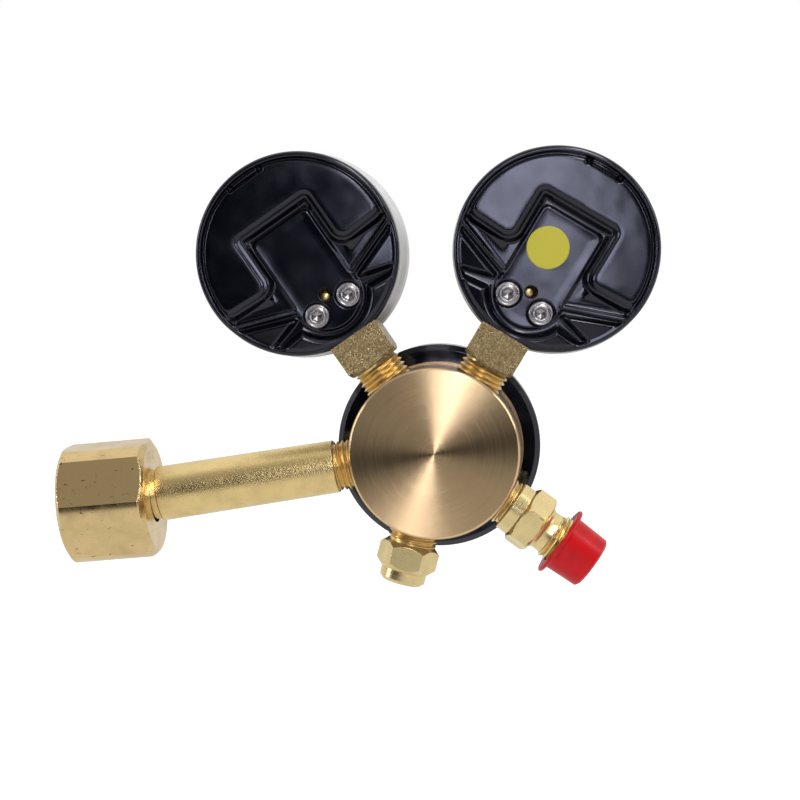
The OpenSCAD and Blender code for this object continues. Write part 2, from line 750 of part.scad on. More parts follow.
module relief_body() {
    color([0.76, 0.62, 0.34]) at_port(relief_angle) difference() {
        union() {
            rotate_extrude() polygon([
                [0, relief_start - thread_len + 1], [port_r - 0.8, relief_start - thread_len + 1],
                [port_r, relief_start - thread_len + 2], [port_r, port_mouth],
                [root_r, port_mouth], [root_r, relief_start + 1], [0, relief_start + 1]
            ]);
            translate([0, 0, relief_start])
                turned_hex(relief_af, relief_af * 1.15, relief_hex_len, 1.7, 1.6);
        }
        translate([0, 0, relief_start - thread_len]) cylinder(d = 4, h = relief_end);
        translate([0, 0, relief_seat]) cylinder(d = relief_chamber_d, h = relief_end);
    }
}

module relief_cap() {
    color([0.76, 0.62, 0.34]) at_port(relief_angle) difference() {
        rotate_extrude() polygon([
            [0, relief_hex_end - relief_cap_in],
            [relief_chamber_d / 2 - fit_gap, relief_hex_end - relief_cap_in],
            [relief_chamber_d / 2 - fit_gap, relief_hex_end], [relief_cap_d / 2, relief_hex_end],
            [relief_cap_d / 2, relief_end - 0.9], [relief_cap_d / 2 - 0.9, relief_end], [0, relief_end]
        ]);
        translate([0, 0, relief_hex_end - relief_cap_in - 1]) cylinder(d = 6.6, h = relief_cap_in + 3);
        translate([0, 0, relief_end - 3]) cylinder(d = relief_vent_d, h = 4);
    }
}

module relief_poppet() {
    color([0.8, 0.65, 0.35]) at_port(relief_angle) translate([0, 0, relief_seat + 0.02]) {
        cylinder(d = relief_poppet_d, h = 2);
        cylinder(d = 3, h = relief_poppet_t);
    }
}

module relief_spring() {
    color([0.7, 0.7, 0.72]) at_port(relief_angle)
        translate([0, 0, relief_seat + 2.02 + spring_touch])
            coil_spring(2.4, 0.35, relief_hex_end + 1.9 - relief_seat - 2.02 - 2 * spring_touch, 8, 12, 6);
}

// Scale of the stamped pattern, drawn for a case of this radius
stamp = back_r / 26.8;

// Outline of the raised half moon on the stamped back, open in the middle for the movement
module plateau_outline() {
    difference() {
        intersection() {
            circle(r = back_r - 3.6, $fn = 96);
            translate([-back_r, -0.8]) square([2 * back_r, back_r - 2.6]);
        }
        translate([-pad_w / 2 - 3.2, -back_r]) square([pad_w + 6.4, back_r + pad_top + 4]);
    }
}

// One of the two wing ribs beside the screws
module wing_outline() {
    intersection() {
        circle(r = back_r - 3.2, $fn = 96);
        polygon(stamp * [[wing_from, -9.8], [wing_to, -5.4], [wing_to - 0.6, -13.4], [wing_from, -12.6]]);
    }
}

// Raised crescent round the foot of the screw pad
module foot_outline() {
    intersection() {
        circle(r = back_r - 3, $fn = 96);
        difference() {
            translate([-foot_w / 2 * stamp, -back_r])
                square([foot_w * stamp, back_r - foot_top * stamp]);
            translate([0, -foot_hollow_at * stamp]) circle(r = foot_hollow_r * stamp, $fn = 96);
        }
    }
}

module case_back(angle, block_at) {
    color([0.05, 0.05, 0.06]) on_gauge(angle, block_at) difference() {
        union() {
            translate([0, 0, -back_at + 0.4]) difference() {
                cylinder(r = back_r, h = skirt_end + back_at - 0.4);
                translate([0, 0, -1]) cylinder(r = back_r - 2, h = back_at + skirt_end + 2);
            }
            translate([0, 0, -back_at]) ring(back_r - 0.5, back_r - 1.6, 1);
            translate([0, 0, back_floor]) cylinder(r = back_r - 1.5, h = sheet);
            translate([0, 0, -back_at + 0.6]) linear_extrude(back_floor + back_at) plateau_outline();
            for (side = [0, 1]) mirror([side, 0, 0])
                translate([0, 0, -back_at + 1.2]) linear_extrude(back_floor + back_at - 0.6) wing_outline();
            translate([0, 0, -back_at + 1]) linear_extrude(back_floor + back_at - 0.4) foot_outline();
        }
        translate([0, -vent_at, -back_at - 1]) cylinder(d = vent_d, h = 12);
        for (side = [-1, 1])
            translate([side * screw_gap / 2, -screw_at, -back_at - 1]) {
                cylinder(d = back_screw_d + 0.3, h = 12);
                cylinder(d = screw_head_d + 0.6, h = back_floor + back_at + 1);
            }
        translate([-block_w / 2 - 0.3, -back_r - 1, -block_w / 2 - fit_gap])
            cube([block_w + 0.6, back_r - block_inside + 1, 2 * block_w]);
        translate([-block_w / 2 - 0.3, -back_r - 1, back_plate])
            cube([block_w + 0.6, back_r - neck_inside + 1, block_w]);
    }
}

module case_ring(angle, block_at) {
    color([0.72, 0.72, 0.72]) on_gauge(angle, block_at) difference() {
        rotate_extrude() polygon([
            [flank_r - sheet, skirt_end], [flank_r, skirt_end], [flank_r + 0.2, bezel_rear - 1.6],
            [bezel_r - 0.3, bezel_rear - 0.4], [bezel_r, bezel_rear], [bezel_r, gauge_front - 1],
            [bezel_r - 1, gauge_front], [bezel_r - 3.4, gauge_front], [bezel_r - 4, gauge_front - 0.95],
            [bezel_r - sheet - 0.6, gauge_front - 0.95],
            [bezel_r - sheet - 0.6, window_at - 0.1], [flank_r - sheet - 1, window_at - 0.1],
            [flank_r - sheet - 1, window_at - 1], [flank_r - sheet, window_at - 1.6]
        ]);
        translate([-block_w / 2 - 0.3, -bezel_r - 1, -block_w])
            cube([block_w + 0.6, bezel_r - neck_inside + 1, block_w * 1.5 + 0.3]);
    }
}

module window(angle, block_at) {
    color([0.9, 0.95, 1, 0.4]) on_gauge(angle, block_at) translate([0, 0, window_at])
        cylinder(r = bezel_r - sheet - 0.6 - fit_gap, h = window_t);
}

module dial(angle, block_at) {
    color([0.95, 0.95, 0.93]) on_gauge(angle, block_at) translate([0, 0, dial_at])
        ring(dial_d / 2, shaft_d / 2 + 0.6, 0.5);
}

module back_screws(angle, block_at) {
    color([0.8, 0.8, 0.8]) on_gauge(angle, block_at) for (side = [-1, 1])
        translate([side * screw_gap / 2, -screw_at, back_floor]) {
            translate([0, 0, -screw_head_h]) difference() {
                rotate_extrude() polygon([
                    [0, 0], [screw_head_d * 0.39, 0], [screw_head_d / 2, screw_head_h * 0.39],
                    [screw_head_d / 2, screw_head_h], [0, screw_head_h]
                ]);
                translate([0, 0, -1])
                    cylinder(d = screw_head_d * 0.42, h = 1 + screw_head_h * 0.6, $fn = 6);
            }
            cylinder(d = back_screw_d, h = 4.4);
        }
}

// Square block below the case, boss inside it and the threaded end, all one forging
module socket(angle, block_at) {
    color([0.74, 0.62, 0.38]) difference() {
        union() {
            at_port(angle) rotate_extrude() polygon([
                [0, block_at - thread_len], [port_r - 0.8, block_at - thread_len],
                [port_r, block_at - thread_len + 0.8], [port_r, port_mouth],
                [root_r, port_mouth], [root_r, block_at + 1], [0, block_at + 1]
            ]);
            at_port(angle) intersection() {
                union() {
                    translate([-block_w / 2, -block_w / 2, block_at])
                        cube([block_w, block_w, block_to_dial - block_inside - 0.3]);
                    translate([-block_w / 2, -block_w / 2, block_at])
                        cube([block_w, block_w / 2 - socket_rear, block_to_dial + socket_low + 1]);
                }
                rotate_extrude() polygon([
                    [0, block_at], [block_w / 2 - 0.4, block_at], [block_w * 0.72, block_at + 1.6],
                    [block_w * 0.72, block_at + block_to_dial], [0, block_at + block_to_dial]
                ]);
            }
            on_gauge(angle, block_at) translate([-pad_w / 2, socket_low, socket_rear])
                cube([pad_w, socket_top - socket_low, socket_front - socket_rear]);
        }
        at_port(angle) translate([0, 0, block_at - thread_len - 1])
            cylinder(d = socket_bore, h = thread_len + 1 + block_to_dial - socket_bore_end);
        on_gauge(angle, block_at) for (side = [-1, 1])
            translate([side * screw_gap / 2, -screw_at, socket_rear - 1])
                cylinder(d = back_screw_d + 2 * fit_gap, h = 5);
        on_gauge(angle, block_at) translate([0, -vent_at, socket_rear - 1]) cylinder(d = vent_d, h = 2.6);
    }
}

// Flattened tube bent to a C, rising from the socket
module bourdon_tube(angle, block_at) {
    color([0.8, 0.55, 0.3]) on_gauge(angle, block_at) rotate([0, 0, tip_angle])
        rotate_extrude(angle = tube_foot_angle - tip_angle, $fn = 96)
            translate([bourdon_d / 2 - 0.9, -2.2]) square([1.8, 7]);
}

module tube_tip(angle, block_at) {
    color([0.8, 0.65, 0.35]) on_gauge(angle, block_at) difference() {
        union() {
            rotate([0, 0, tip_angle]) translate([bourdon_d / 2 - 1.4, -2.45, -2.2]) cube([2.8, 2.4, 7]);
            rotate([0, 0, tip_angle]) translate([bourdon_d / 2 - 4.8, -2.4, tip_at])
                cube([3.7, 4.2, 0.9]);
        }
        translate([tip_pin[0], tip_pin[1], tip_at - 1]) cylinder(r = 1, h = 3);
    }
}

module link(angle, block_at) {
    span = tip_pin - tail_end;
    color([0.8, 0.8, 0.8]) on_gauge(angle, block_at) difference() {
        union() {
            translate([tail_end[0], tail_end[1], link_at]) {
                cylinder(r = 1.1, h = link_t);
                rotate([0, 0, atan2(span[1], span[0])]) translate([0, -0.6, 0])
                    cube([norm(span), 1.2, link_t]);
            }
            translate([tip_pin[0], tip_pin[1], link_at]) cylinder(r = 1.1, h = link_t);
            translate([tip_pin[0], tip_pin[1], tip_at]) cylinder(r = 0.5, h = link_t + 0.8);
        }
        translate([tail_end[0], tail_end[1], link_at - 1]) cylinder(r = 0.4 + shaft_gap, h = 3);
    }
}

module movement_plate() {
    difference() {
        translate([-movement_w / 2, -movement_low]) square([movement_w, movement_top + movement_low]);
        circle(d = shaft_d + 2 * shaft_gap);
        translate(sector_pivot) circle(d = shaft_d + 2 * shaft_gap);
    }
}

module movement_frame(angle, block_at) {
    color([0.8, 0.65, 0.35]) on_gauge(angle, block_at) {
        translate([0, 0, movement_rear]) linear_extrude(plate_gauge) movement_plate();
        translate([0, 0, front_plate_at]) linear_extrude(plate_gauge) movement_plate();
        for (y = [movement_top - 1.1, 1 - movement_low])
            translate([1.1 - movement_w / 2, y, movement_rear + plate_gauge / 2])
                cylinder(r = plate_gauge, h = dial_at - movement_rear - plate_gauge / 2);
    }
}

// Points of a toothed arc, from the first tooth's root to the last
function teeth_points(r, pitch_angle, from, count, add, ded) = [
    for (i = [0:count - 1])
        let (a = from + i * pitch_angle)
        each [
            (r - ded) * [cos(a - pitch_angle * 0.3), sin(a - pitch_angle * 0.3)],
            (r + add) * [cos(a - pitch_angle * 0.09), sin(a - pitch_angle * 0.09)],
            (r + add) * [cos(a + pitch_angle * 0.09), sin(a + pitch_angle * 0.09)],
            (r - ded) * [cos(a + pitch_angle * 0.3), sin(a + pitch_angle * 0.3)]
        ]
];

module sector(angle, block_at) {
    tooth = 360 / sector_teeth;
    count = ceil(sector_sweep / tooth) + 3;
    color([0.8, 0.65, 0.35]) on_gauge(angle, block_at)
    translate([sector_pivot[0], sector_pivot[1], 0]) {
        difference() {
            union() {
                translate([0, 0, sector_at]) linear_extrude(sector_t) polygon(concat(
                    [[0, 0]],
                    teeth_points(sector_r, tooth, 90 - (count - 2) * tooth, count,
                        0.75 * tooth_module, 1.25 * tooth_module)
                ));
                translate([0, 0, sector_at]) cylinder(r = 1.8, h = sector_t);
                rotate([0, 0, tail_angle]) translate([0, -0.8, sector_at]) cube([tail_len, 1.6, sector_t]);
                rotate([0, 0, tail_angle]) translate([tail_len, 0, sector_at])
                    cylinder(r = 1.1, h = sector_t);
                rotate([0, 0, tail_angle]) translate([tail_len, 0, link_at - 0.2])
                    cylinder(r = 0.4, h = sector_at - link_at + 0.4);
            }
            translate([0, 0, sector_at - 0.1]) rotate([0, 0, 72])
                translate([4.6, 0, 0]) cylinder(r = 1.1, h = 1.2);
        }
        translate([0, 0, movement_rear + 0.05])
            cylinder(d = shaft_d, h = front_plate_at + plate_gauge - movement_rear - 0.1);
    }
}

module pinion(angle, block_at) {
    color([0.8, 0.65, 0.35]) on_gauge(angle, block_at) {
        rotate([0, 0, -90 + 180 / pinion_teeth]) translate([0, 0, sector_at - 0.6]) linear_extrude(2)
            polygon(teeth_points(pinion_r, 360 / pinion_teeth, 0, pinion_teeth,
                0.75 * tooth_module, 1.2 * tooth_module));
        translate([0, 0, movement_rear + 0.05])
            cylinder(d = shaft_d, h = sector_at - movement_rear - 0.6);
        translate([0, 0, sector_at + 1.3]) cylinder(d = shaft_d, h = dial_at + 2.6 - sector_at - 1.3);
    }
}

// Flat spiral of thin ribbon round the pinion's shaft
module hairspring(angle, block_at) {
    turns = 3;
    inner = shaft_d / 2 + 0.06;
    outer = 4;
    ribbon = 0.2;
    steps = 54;
    function spiral(i, off) = let (
        a = 360 * turns * i / steps,
        r = inner + (outer - inner) * i / steps + off
    ) [r * cos(a), r * sin(a)];
    color([0.75, 0.7, 0.55]) on_gauge(angle, block_at) {
        translate([0, 0, sector_at + 1.9]) linear_extrude(0.6) polygon(concat(
            [for (i = [0:steps]) spiral(i, 0)], [for (i = [steps:-1:0]) spiral(i, ribbon)]
        ));
    }
}

module pointer(angle, block_at) {
    color([0.08, 0.08, 0.08]) on_gauge(angle, block_at) translate([0, 0, dial_at + 1.4])
        rotate([0, 0, pointer_rest]) difference() {
            union() {
                cylinder(r = 2.2, h = 1.2);
                linear_extrude(0.5) polygon([
                    [-pointer_len / 3, -0.9], [0, -0.8], [pointer_len, -0.25],
                    [pointer_len, 0.25], [0, 0.8], [-pointer_len / 3, 0.9]
                ]);
            }
            translate([0, 0, -1]) cylinder(d = shaft_d + 0.02, h = 4);
        }
}

body();
bonnet();
slip_ring();
diaphragm();
diaphragm_plate();
main_spring();
valve_nozzle();
valve_pin();
poppet();
poppet_seal();
poppet_spring();
spring_follower();
adjusting_screw();
thrust_washer();
knob();
knob_nut();
knob_cap();
inlet_tube();
inlet_nipple();
inlet_seal();
inlet_filter();
inlet_nut();
outlet_adaptor();
outlet_cap();
relief_body();
relief_cap();
relief_poppet();
relief_spring();
socket(supply_angle, supply_block_at);  // supply_socket
case_back(supply_angle, supply_block_at);  // supply_case_back
case_ring(supply_angle, supply_block_at);  // supply_case_ring
window(supply_angle, supply_block_at);  // supply_window
dial(supply_angle, supply_block_at);  // supply_dial
back_screws(supply_angle, supply_block_at);  // supply_back_screws
bourdon_tube(supply_angle, supply_block_at);  // supply_bourdon_tube
tube_tip(supply_angle, supply_block_at);  // supply_tube_tip
link(supply_angle, supply_block_at);  // supply_link
movement_frame(supply_angle, supply_block_at);  // supply_movement_frame
sector(supply_angle, supply_block_at);  // supply_sector
pinion(supply_angle, supply_block_at);  // supply_pinion
hairspring(supply_angle, supply_block_at);  // supply_hairspring
pointer(supply_angle, supply_block_at);  // supply_pointer
socket(delivery_angle, delivery_block_at);  // delivery_socket
case_back(delivery_angle, delivery_block_at);  // delivery_case_back
case_ring(delivery_angle, delivery_block_at);  // delivery_case_ring
window(delivery_angle, delivery_block_at);  // delivery_window
dial(delivery_angle, delivery_block_at);  // delivery_dial
back_screws(delivery_angle, delivery_block_at);  // delivery_back_screws
bourdon_tube(delivery_angle, delivery_block_at);  // delivery_bourdon_tube
tube_tip(delivery_angle, delivery_block_at);  // delivery_tube_tip
link(delivery_angle, delivery_block_at);  // delivery_link
movement_frame(delivery_angle, delivery_block_at);  // delivery_movement_frame
sector(delivery_angle, delivery_block_at);  // delivery_sector
pinion(delivery_angle, delivery_block_at);  // delivery_pinion
hairspring(delivery_angle, delivery_block_at);  // delivery_hairspring
pointer(delivery_angle, delivery_block_at);  // delivery_pointer
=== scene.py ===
import bpy
import math
from mathutils import Matrix, Vector


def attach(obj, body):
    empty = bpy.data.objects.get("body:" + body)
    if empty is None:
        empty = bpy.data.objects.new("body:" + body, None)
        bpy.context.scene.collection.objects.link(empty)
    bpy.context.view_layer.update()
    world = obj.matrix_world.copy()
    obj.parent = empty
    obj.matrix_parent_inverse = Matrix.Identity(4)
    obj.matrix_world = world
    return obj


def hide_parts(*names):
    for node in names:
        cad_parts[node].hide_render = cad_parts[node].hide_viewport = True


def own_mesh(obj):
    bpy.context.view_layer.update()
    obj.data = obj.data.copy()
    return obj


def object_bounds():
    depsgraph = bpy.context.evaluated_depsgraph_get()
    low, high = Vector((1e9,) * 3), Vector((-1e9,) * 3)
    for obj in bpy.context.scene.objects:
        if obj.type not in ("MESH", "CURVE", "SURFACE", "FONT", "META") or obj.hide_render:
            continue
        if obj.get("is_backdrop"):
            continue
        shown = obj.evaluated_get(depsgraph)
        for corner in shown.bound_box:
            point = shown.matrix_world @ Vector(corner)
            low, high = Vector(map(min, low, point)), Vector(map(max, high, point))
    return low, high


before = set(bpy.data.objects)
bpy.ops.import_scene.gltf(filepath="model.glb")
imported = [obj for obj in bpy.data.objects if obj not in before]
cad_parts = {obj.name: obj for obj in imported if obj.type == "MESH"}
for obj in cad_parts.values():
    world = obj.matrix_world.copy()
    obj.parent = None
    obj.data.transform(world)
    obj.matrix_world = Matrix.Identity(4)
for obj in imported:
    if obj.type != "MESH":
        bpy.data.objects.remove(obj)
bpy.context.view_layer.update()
MM = 0.001

# Frames of the ports and gauges

REACH = 86.0  # the body's centre from the inlet's mating plane
# port angles in degrees: 0 points away from the cylinder, 90 up; a gauge's also says where its block starts
SUPPLY = (115.5, 28.1)
DELIVERY = (50.0, 26.6)
OUTLET = -45.0
RELIEF = -114.0
BLOCK_TO_DIAL = 35.1
DIAL_FACE = 10.93  # the dial's face in front of the port plane


def port(angle, along=0.0):
    """Frame whose Z axis leaves the body along a port."""
    t = math.radians(angle)
    x, z = Vector((math.sin(t), 0, math.cos(t))), Vector((-math.cos(t), 0, math.sin(t)))
    m = Matrix((x, Vector((0, 1, 0)), z)).transposed().to_4x4()
    m.translation = Vector((-REACH, 0, 0)) + along * z
    return m


def gauge(which, lift=0.0):
    """Frame of a dial: X right and Y away from the stem seen from the front, Z towards the front."""
    angle, block_at = which
    m = port(angle, block_at + BLOCK_TO_DIAL) @ Matrix.Rotation(math.radians(90), 4, "X")
    return m @ Matrix.Translation((0, 0, lift))


KNOB_AXIS = Matrix.Translation((-REACH, 0, 0)) @ Matrix.Rotation(math.radians(90), 4, "X")

# Camera

SENSOR, LENS = 36.0, 78.077
CAMERA_AT = (-116.62, 457.88, 39.07)
CAMERA_AXES = (  # right, up and back
    (-0.984366, -0.072913, -0.160336),
    (-0.155724, -0.065092, 0.985654),
    (-0.082304, 0.995212, 0.05272),
)

cam = bpy.data.objects.new("camera", bpy.data.cameras.new("camera"))
bpy.context.scene.collection.objects.link(cam)
cam.data.sensor_width = SENSOR
cam.data.lens = LENS
cam.data.clip_start = 0.01
cam.data.clip_end = 50.0
cam.matrix_world = Matrix.Translation(Vector(CAMERA_AT) * MM) @ Matrix(CAMERA_AXES).transposed().to_4x4()
bpy.context.scene.camera = cam

# Node helpers


class Tree:
    """Short calls for building a node tree."""

    def __init__(self, tree):
        self.tree = tree

    def add(self, kind, inputs=None, **props):
        node = self.tree.nodes.new(kind)
        for key, value in props.items():
            setattr(node, key, value)
        for key, value in (inputs or {}).items():
            self.put(node.inputs[key], value)
        return node

    def put(self, socket, value):
        if isinstance(value, bpy.types.NodeSocket):
            self.tree.links.new(value, socket)
        elif isinstance(value, (tuple, list)) and len(value) == 3 and len(socket.default_value) == 4:
            socket.default_value = (*value, 1.0)
        else:
            socket.default_value = value

    def math(self, op, a, b=0.0):
        return self.add("ShaderNodeMath", {0: a, 1: b}, operation=op).outputs[0]

    def place(self, centre=(0, 0, 0), turn=(0, 0, 0), stretch=(1, 1, 1)):
        """The piece's own coordinates in millimetres from a centre, turned and stretched."""
        coord = self.add("ShaderNodeTexCoord").outputs["Object"]
        mm = self.add("ShaderNodeVectorMath", {0: coord, 1: (1000, 1000, 1000)}, operation="MULTIPLY")
        off = self.add("ShaderNodeVectorMath", {0: mm.outputs[0], 1: centre}, operation="SUBTRACT")
        out = off.outputs[0]
        if any(turn):
            out = self.add("ShaderNodeVectorRotate", {"Vector": out, "Rotation": turn},
                           rotation_type="EULER_XYZ").outputs[0]
        if tuple(stretch) != (1, 1, 1):
            out = self.add("ShaderNodeVectorMath", {0: out, 1: stretch}, operation="MULTIPLY").outputs[0]
        return out

    def noise(self, where, scale, detail=2.0, rough=0.5, warp=0.0):
        return self.add("ShaderNodeTexNoise", {"Vector": where, "Scale": scale, "Detail": detail,
                                               "Roughness": rough, "Distortion": warp}).outputs["Fac"]

    def line_noise(self, w, scale, detail):
        return self.add("ShaderNodeTexNoise", {"W": w, "Scale": scale, "Detail": detail},
                        noise_dimensions="1D").outputs["Fac"]

    def ramp(self, fac, *stops):
        """A colour for each position, blended between them."""
        node = self.add("ShaderNodeValToRGB", {"Fac": fac})
        items = node.color_ramp.elements
        while len(items) < len(stops):
            items.new(0.5)
        for item, (at, value) in zip(items, stops):
            item.position = at
            item.color = (*value, 1)
        return node.outputs["Color"]

    def span(self, value, a, b, lo=0.0, hi=1.0):
        return self.add("ShaderNodeMapRange", {"Value": value, "From Min": a, "From Max": b,
                                               "To Min": lo, "To Max": hi}).outputs[0]

    def blend(self, fac, a, b):
        """From colour a to colour b; the mix node's colours are its inputs 6 and 7 and its output 2."""
        return self.add("ShaderNodeMix", {0: fac, 6: a, 7: b}, data_type="RGBA", blend_type="MIX").outputs[2]

    def bump(self, height, distance, strength, normal):
        return self.add("ShaderNodeBump", {"Height": height, "Distance": distance, "Strength": strength,
                                           "Normal": normal}).outputs[0]

    def bevel(self, radius_mm):
        return self.add("ShaderNodeBevel", {"Radius": radius_mm * MM}, samples=6).outputs[0]

    def edges(self, radius_mm, lo=0.02, hi=0.25):
        """1 along edges and 0 on flat faces, from how far a rounded edge would turn the surface."""
        flat = self.add("ShaderNodeNewGeometry").outputs["True Normal"]
        dot = self.add("ShaderNodeVectorMath", {0: flat, 1: self.bevel(radius_mm)}, operation="DOT_PRODUCT")
        return self.span(self.math("SUBTRACT", 1.0, dot.outputs["Value"]), lo, hi)

    def ring_radius(self, where):
        """Distance of a point from the Y axis."""
        parts = self.add("ShaderNodeSeparateXYZ", {0: where}).outputs
        a, b = parts[0], parts[2]
        return self.math("SQRT", self.math("ADD", self.math("MULTIPLY", a, a), self.math("MULTIPLY", b, b)))


def material(name, color, rough, metal=0.0, **sockets):
    m = bpy.data.materials.new(name)
    m.use_nodes = True
    t = Tree(m.node_tree)
    shader = m.node_tree.nodes["Principled BSDF"]
    t.put(shader.inputs["Base Color"], color)
    t.put(shader.inputs["Roughness"], rough)
    t.put(shader.inputs["Metallic"], metal)
    for key, value in sockets.items():
        t.put(shader.inputs[key.replace("_", " ")], value)
    return m, t, shader


# Materials

BRASS = (0.76, 0.53, 0.21)
BRASS_DARK = (0.46, 0.27, 0.075)
BRASS_PALE = (0.93, 0.76, 0.45)


def brass_part(name, centre, turn, tone, rough, rings, grain, pits=0.0, nicks=0.0):
    """Machined brass: turned lines across the axis (local Z), faint stains, brighter worn edges."""
    m, t, s = material(name, tone, rough, 1.0)
    where = t.place(centre, turn)
    axis = t.add("ShaderNodeSeparateXYZ", {0: where}).outputs[2]
    lines = t.line_noise(axis, 7.0, 5.0)
    cloud = t.noise(where, 0.16, 4.0, 0.6)
    fine = t.noise(where, 3.2, 3.0, 0.6)
    worn = t.edges(0.35)
    color = t.blend(t.span(cloud, 0.4, 0.75), tone, [0.82 * c for c in tone])
    color = t.blend(t.span(fine, 0.62, 0.8, 0.0, 0.45), color, BRASS_DARK)
    color = t.blend(t.math("MULTIPLY", worn, 0.6), color, BRASS_PALE)
    if nicks:
        marks = t.noise(t.place(centre, turn, (1, 1, 0.4)), 0.75, 3.0, 0.65, 1.2)
        color = t.blend(t.span(marks, 0.655, 0.68, 0.0, nicks), color, (0.16, 0.09, 0.035))
    t.put(s.inputs["Base Color"], color)
    t.put(s.inputs["Roughness"], t.math("ADD", t.span(cloud, 0.3, 0.7, rough - 0.06, rough + 0.08),
                                        t.span(lines, 0.35, 0.65, -0.03, 0.05)))
    height = t.math("ADD", t.math("MULTIPLY", lines, rings), t.math("MULTIPLY", fine, grain))
    if pits:
        rough_skin = t.noise(t.place(centre, turn, (1, 1, 0.55)), 2.4, 5.0, 0.75)
        height = t.math("ADD", height, t.math("MULTIPLY", t.span(rough_skin, 0.35, 0.75), pits))
    t.put(s.inputs["Normal"], t.bump(height, 0.03 * MM, 0.5, t.bevel(0.18)))
    return m


def turned_face():
    """The body: fine turned grooves round Y, that stretch a highlight across them, and painted shade on its
    side.
    """
    m, t, s = material("turned_brass_face", (0.80, 0.61, 0.42), 0.25, 1.0, Anisotropic_Rotation=0.25)
    where = t.place((-REACH, 0, 0))
    r = t.ring_radius(where)
    depth = t.add("ShaderNodeSeparateXYZ", {0: where}).outputs[1]
    rear = t.span(depth, 8.9, 9.2)
    grooves = t.line_noise(r, 9.0, 4.0)
    broad = t.line_noise(r, 0.45, 2.0)
    cloud = t.noise(where, 0.09, 3.0)
    color = t.blend(t.span(grooves, 0.3, 0.72), (0.86, 0.615, 0.345), (0.78, 0.545, 0.30))
    color = t.blend(t.span(cloud, 0.45, 0.8, 0.0, 0.5), color, (0.66, 0.45, 0.24))
    # the body's side gets painted shade, a darker colour than its rear face, and only the face stretches its
    # highlight
    lines = t.line_noise(depth, 1.6, 3.0)
    side = t.blend(t.span(lines, 0.35, 0.65), (0.24, 0.16, 0.088), (0.36, 0.25, 0.145))
    t.put(s.inputs["Base Color"], t.blend(rear, side, color))
    t.put(s.inputs["Roughness"], t.math("ADD", t.span(broad, 0.3, 0.7, 0.235, 0.25),
                                        t.span(grooves, 0.3, 0.7, -0.02, 0.03)))
    t.put(s.inputs["Anisotropic"], t.math("MULTIPLY", rear, 0.95))
    t.put(s.inputs["Tangent"], t.add("ShaderNodeTangent", direction_type="RADIAL", axis="Y").outputs[0])
    t.put(s.inputs["Normal"], t.bevel(0.25))
    return m


def forged_block():
    """Brass left as it came out of the die: coarse grain, dark pits and bright specks."""
    m, t, s = material("forged_brass", BRASS, 0.42, 1.0)
    where = t.place()
    patch = t.noise(where, 0.5, 3.0, 0.6)
    coarse = t.noise(where, 2.4, 6.0, 0.8, 0.2)
    grit = t.noise(where, 7.0, 4.0, 0.8)
    color = t.ramp(coarse, (0.40, (0.14, 0.09, 0.035)), (0.50, (0.38, 0.27, 0.125)),
                   (0.60, (0.70, 0.58, 0.34)))
    color = t.blend(t.span(patch, 0.4, 0.65, 0.0, 0.5), color, (0.25, 0.18, 0.085))
    color = t.blend(t.math("MULTIPLY", t.edges(0.4), 0.45), color, BRASS_PALE)
    t.put(s.inputs["Base Color"], color)
    t.put(s.inputs["Roughness"], t.span(patch, 0.3, 0.7, 0.2, 0.32))
    height = t.math("ADD", t.math("MULTIPLY", coarse, 0.8), t.math("MULTIPLY", grit, 0.35))
    t.put(s.inputs["Normal"], t.bump(height, 0.6 * MM, 0.95, t.bevel(0.3)))
    return m


def thread_brass():
    """Bright threads that the dark between them shows through."""
    m, t, s = material("thread_brass", (0.82, 0.50, 0.14), 0.33, 1.0)
    fine = t.noise(t.place(), 0.7, 2.0, 0.5)
    t.put(s.inputs["Base Color"], t.blend(t.span(fine, 0.35, 0.7), (0.84, 0.62, 0.28), (0.74, 0.51, 0.20)))
    return m


def enamel(name, tone, rough, peel):
    """Stove enamel on pressed steel, with a soft skin and thinner, lighter paint on sharp edges."""
    m, t, s = material(name, tone, rough, 0.0, Specular_Tint=(0.86, 0.86, 1.0), Specular_IOR_Level=0.6)
    where = t.place()
    skin = t.noise(where, 1.6, 3.0, 0.55)
    cloud = t.noise(where, 0.12, 2.0)
    dust = t.noise(where, 9.0, 2.0, 0.7)
    color = t.blend(t.math("MULTIPLY", t.edges(0.5, 0.05, 0.4), 0.25), tone, [c * 3 + 0.006 for c in tone])
    color = t.blend(t.span(dust, 0.72, 0.8, 0.0, 0.3), color, [c * 4 + 0.02 for c in tone])
    t.put(s.inputs["Base Color"], color)
    t.put(s.inputs["Roughness"], t.span(cloud, 0.3, 0.7, rough - 0.02, rough + 0.05))
    wave = t.bump(t.noise(where, 0.11, 1.0), 0.35 * MM, 0.4, t.bevel(0.3))
    t.put(s.inputs["Normal"], t.bump(skin, 0.02 * MM, peel, wave))
    return m


def satin_ring():
    """Light metal case with fine lines round it."""
    m, t, s = material("satin_case_ring", (0.72, 0.72, 0.71), 0.38, 0.35)
    where = t.place()
    lines = t.line_noise(t.add("ShaderNodeSeparateXYZ", {0: where}).outputs[1], 6.0, 4.0)
    cloud = t.noise(where, 0.2, 3.0)
    t.put(s.inputs["Base Color"], t.blend(t.span(cloud, 0.35, 0.7), (0.74, 0.74, 0.73), (0.66, 0.66, 0.655)))
    t.put(s.inputs["Roughness"], t.span(lines, 0.3, 0.7, 0.34, 0.46))
    t.put(s.inputs["Normal"], t.bump(lines, 0.01 * MM, 0.4, t.bevel(0.25)))
    return m


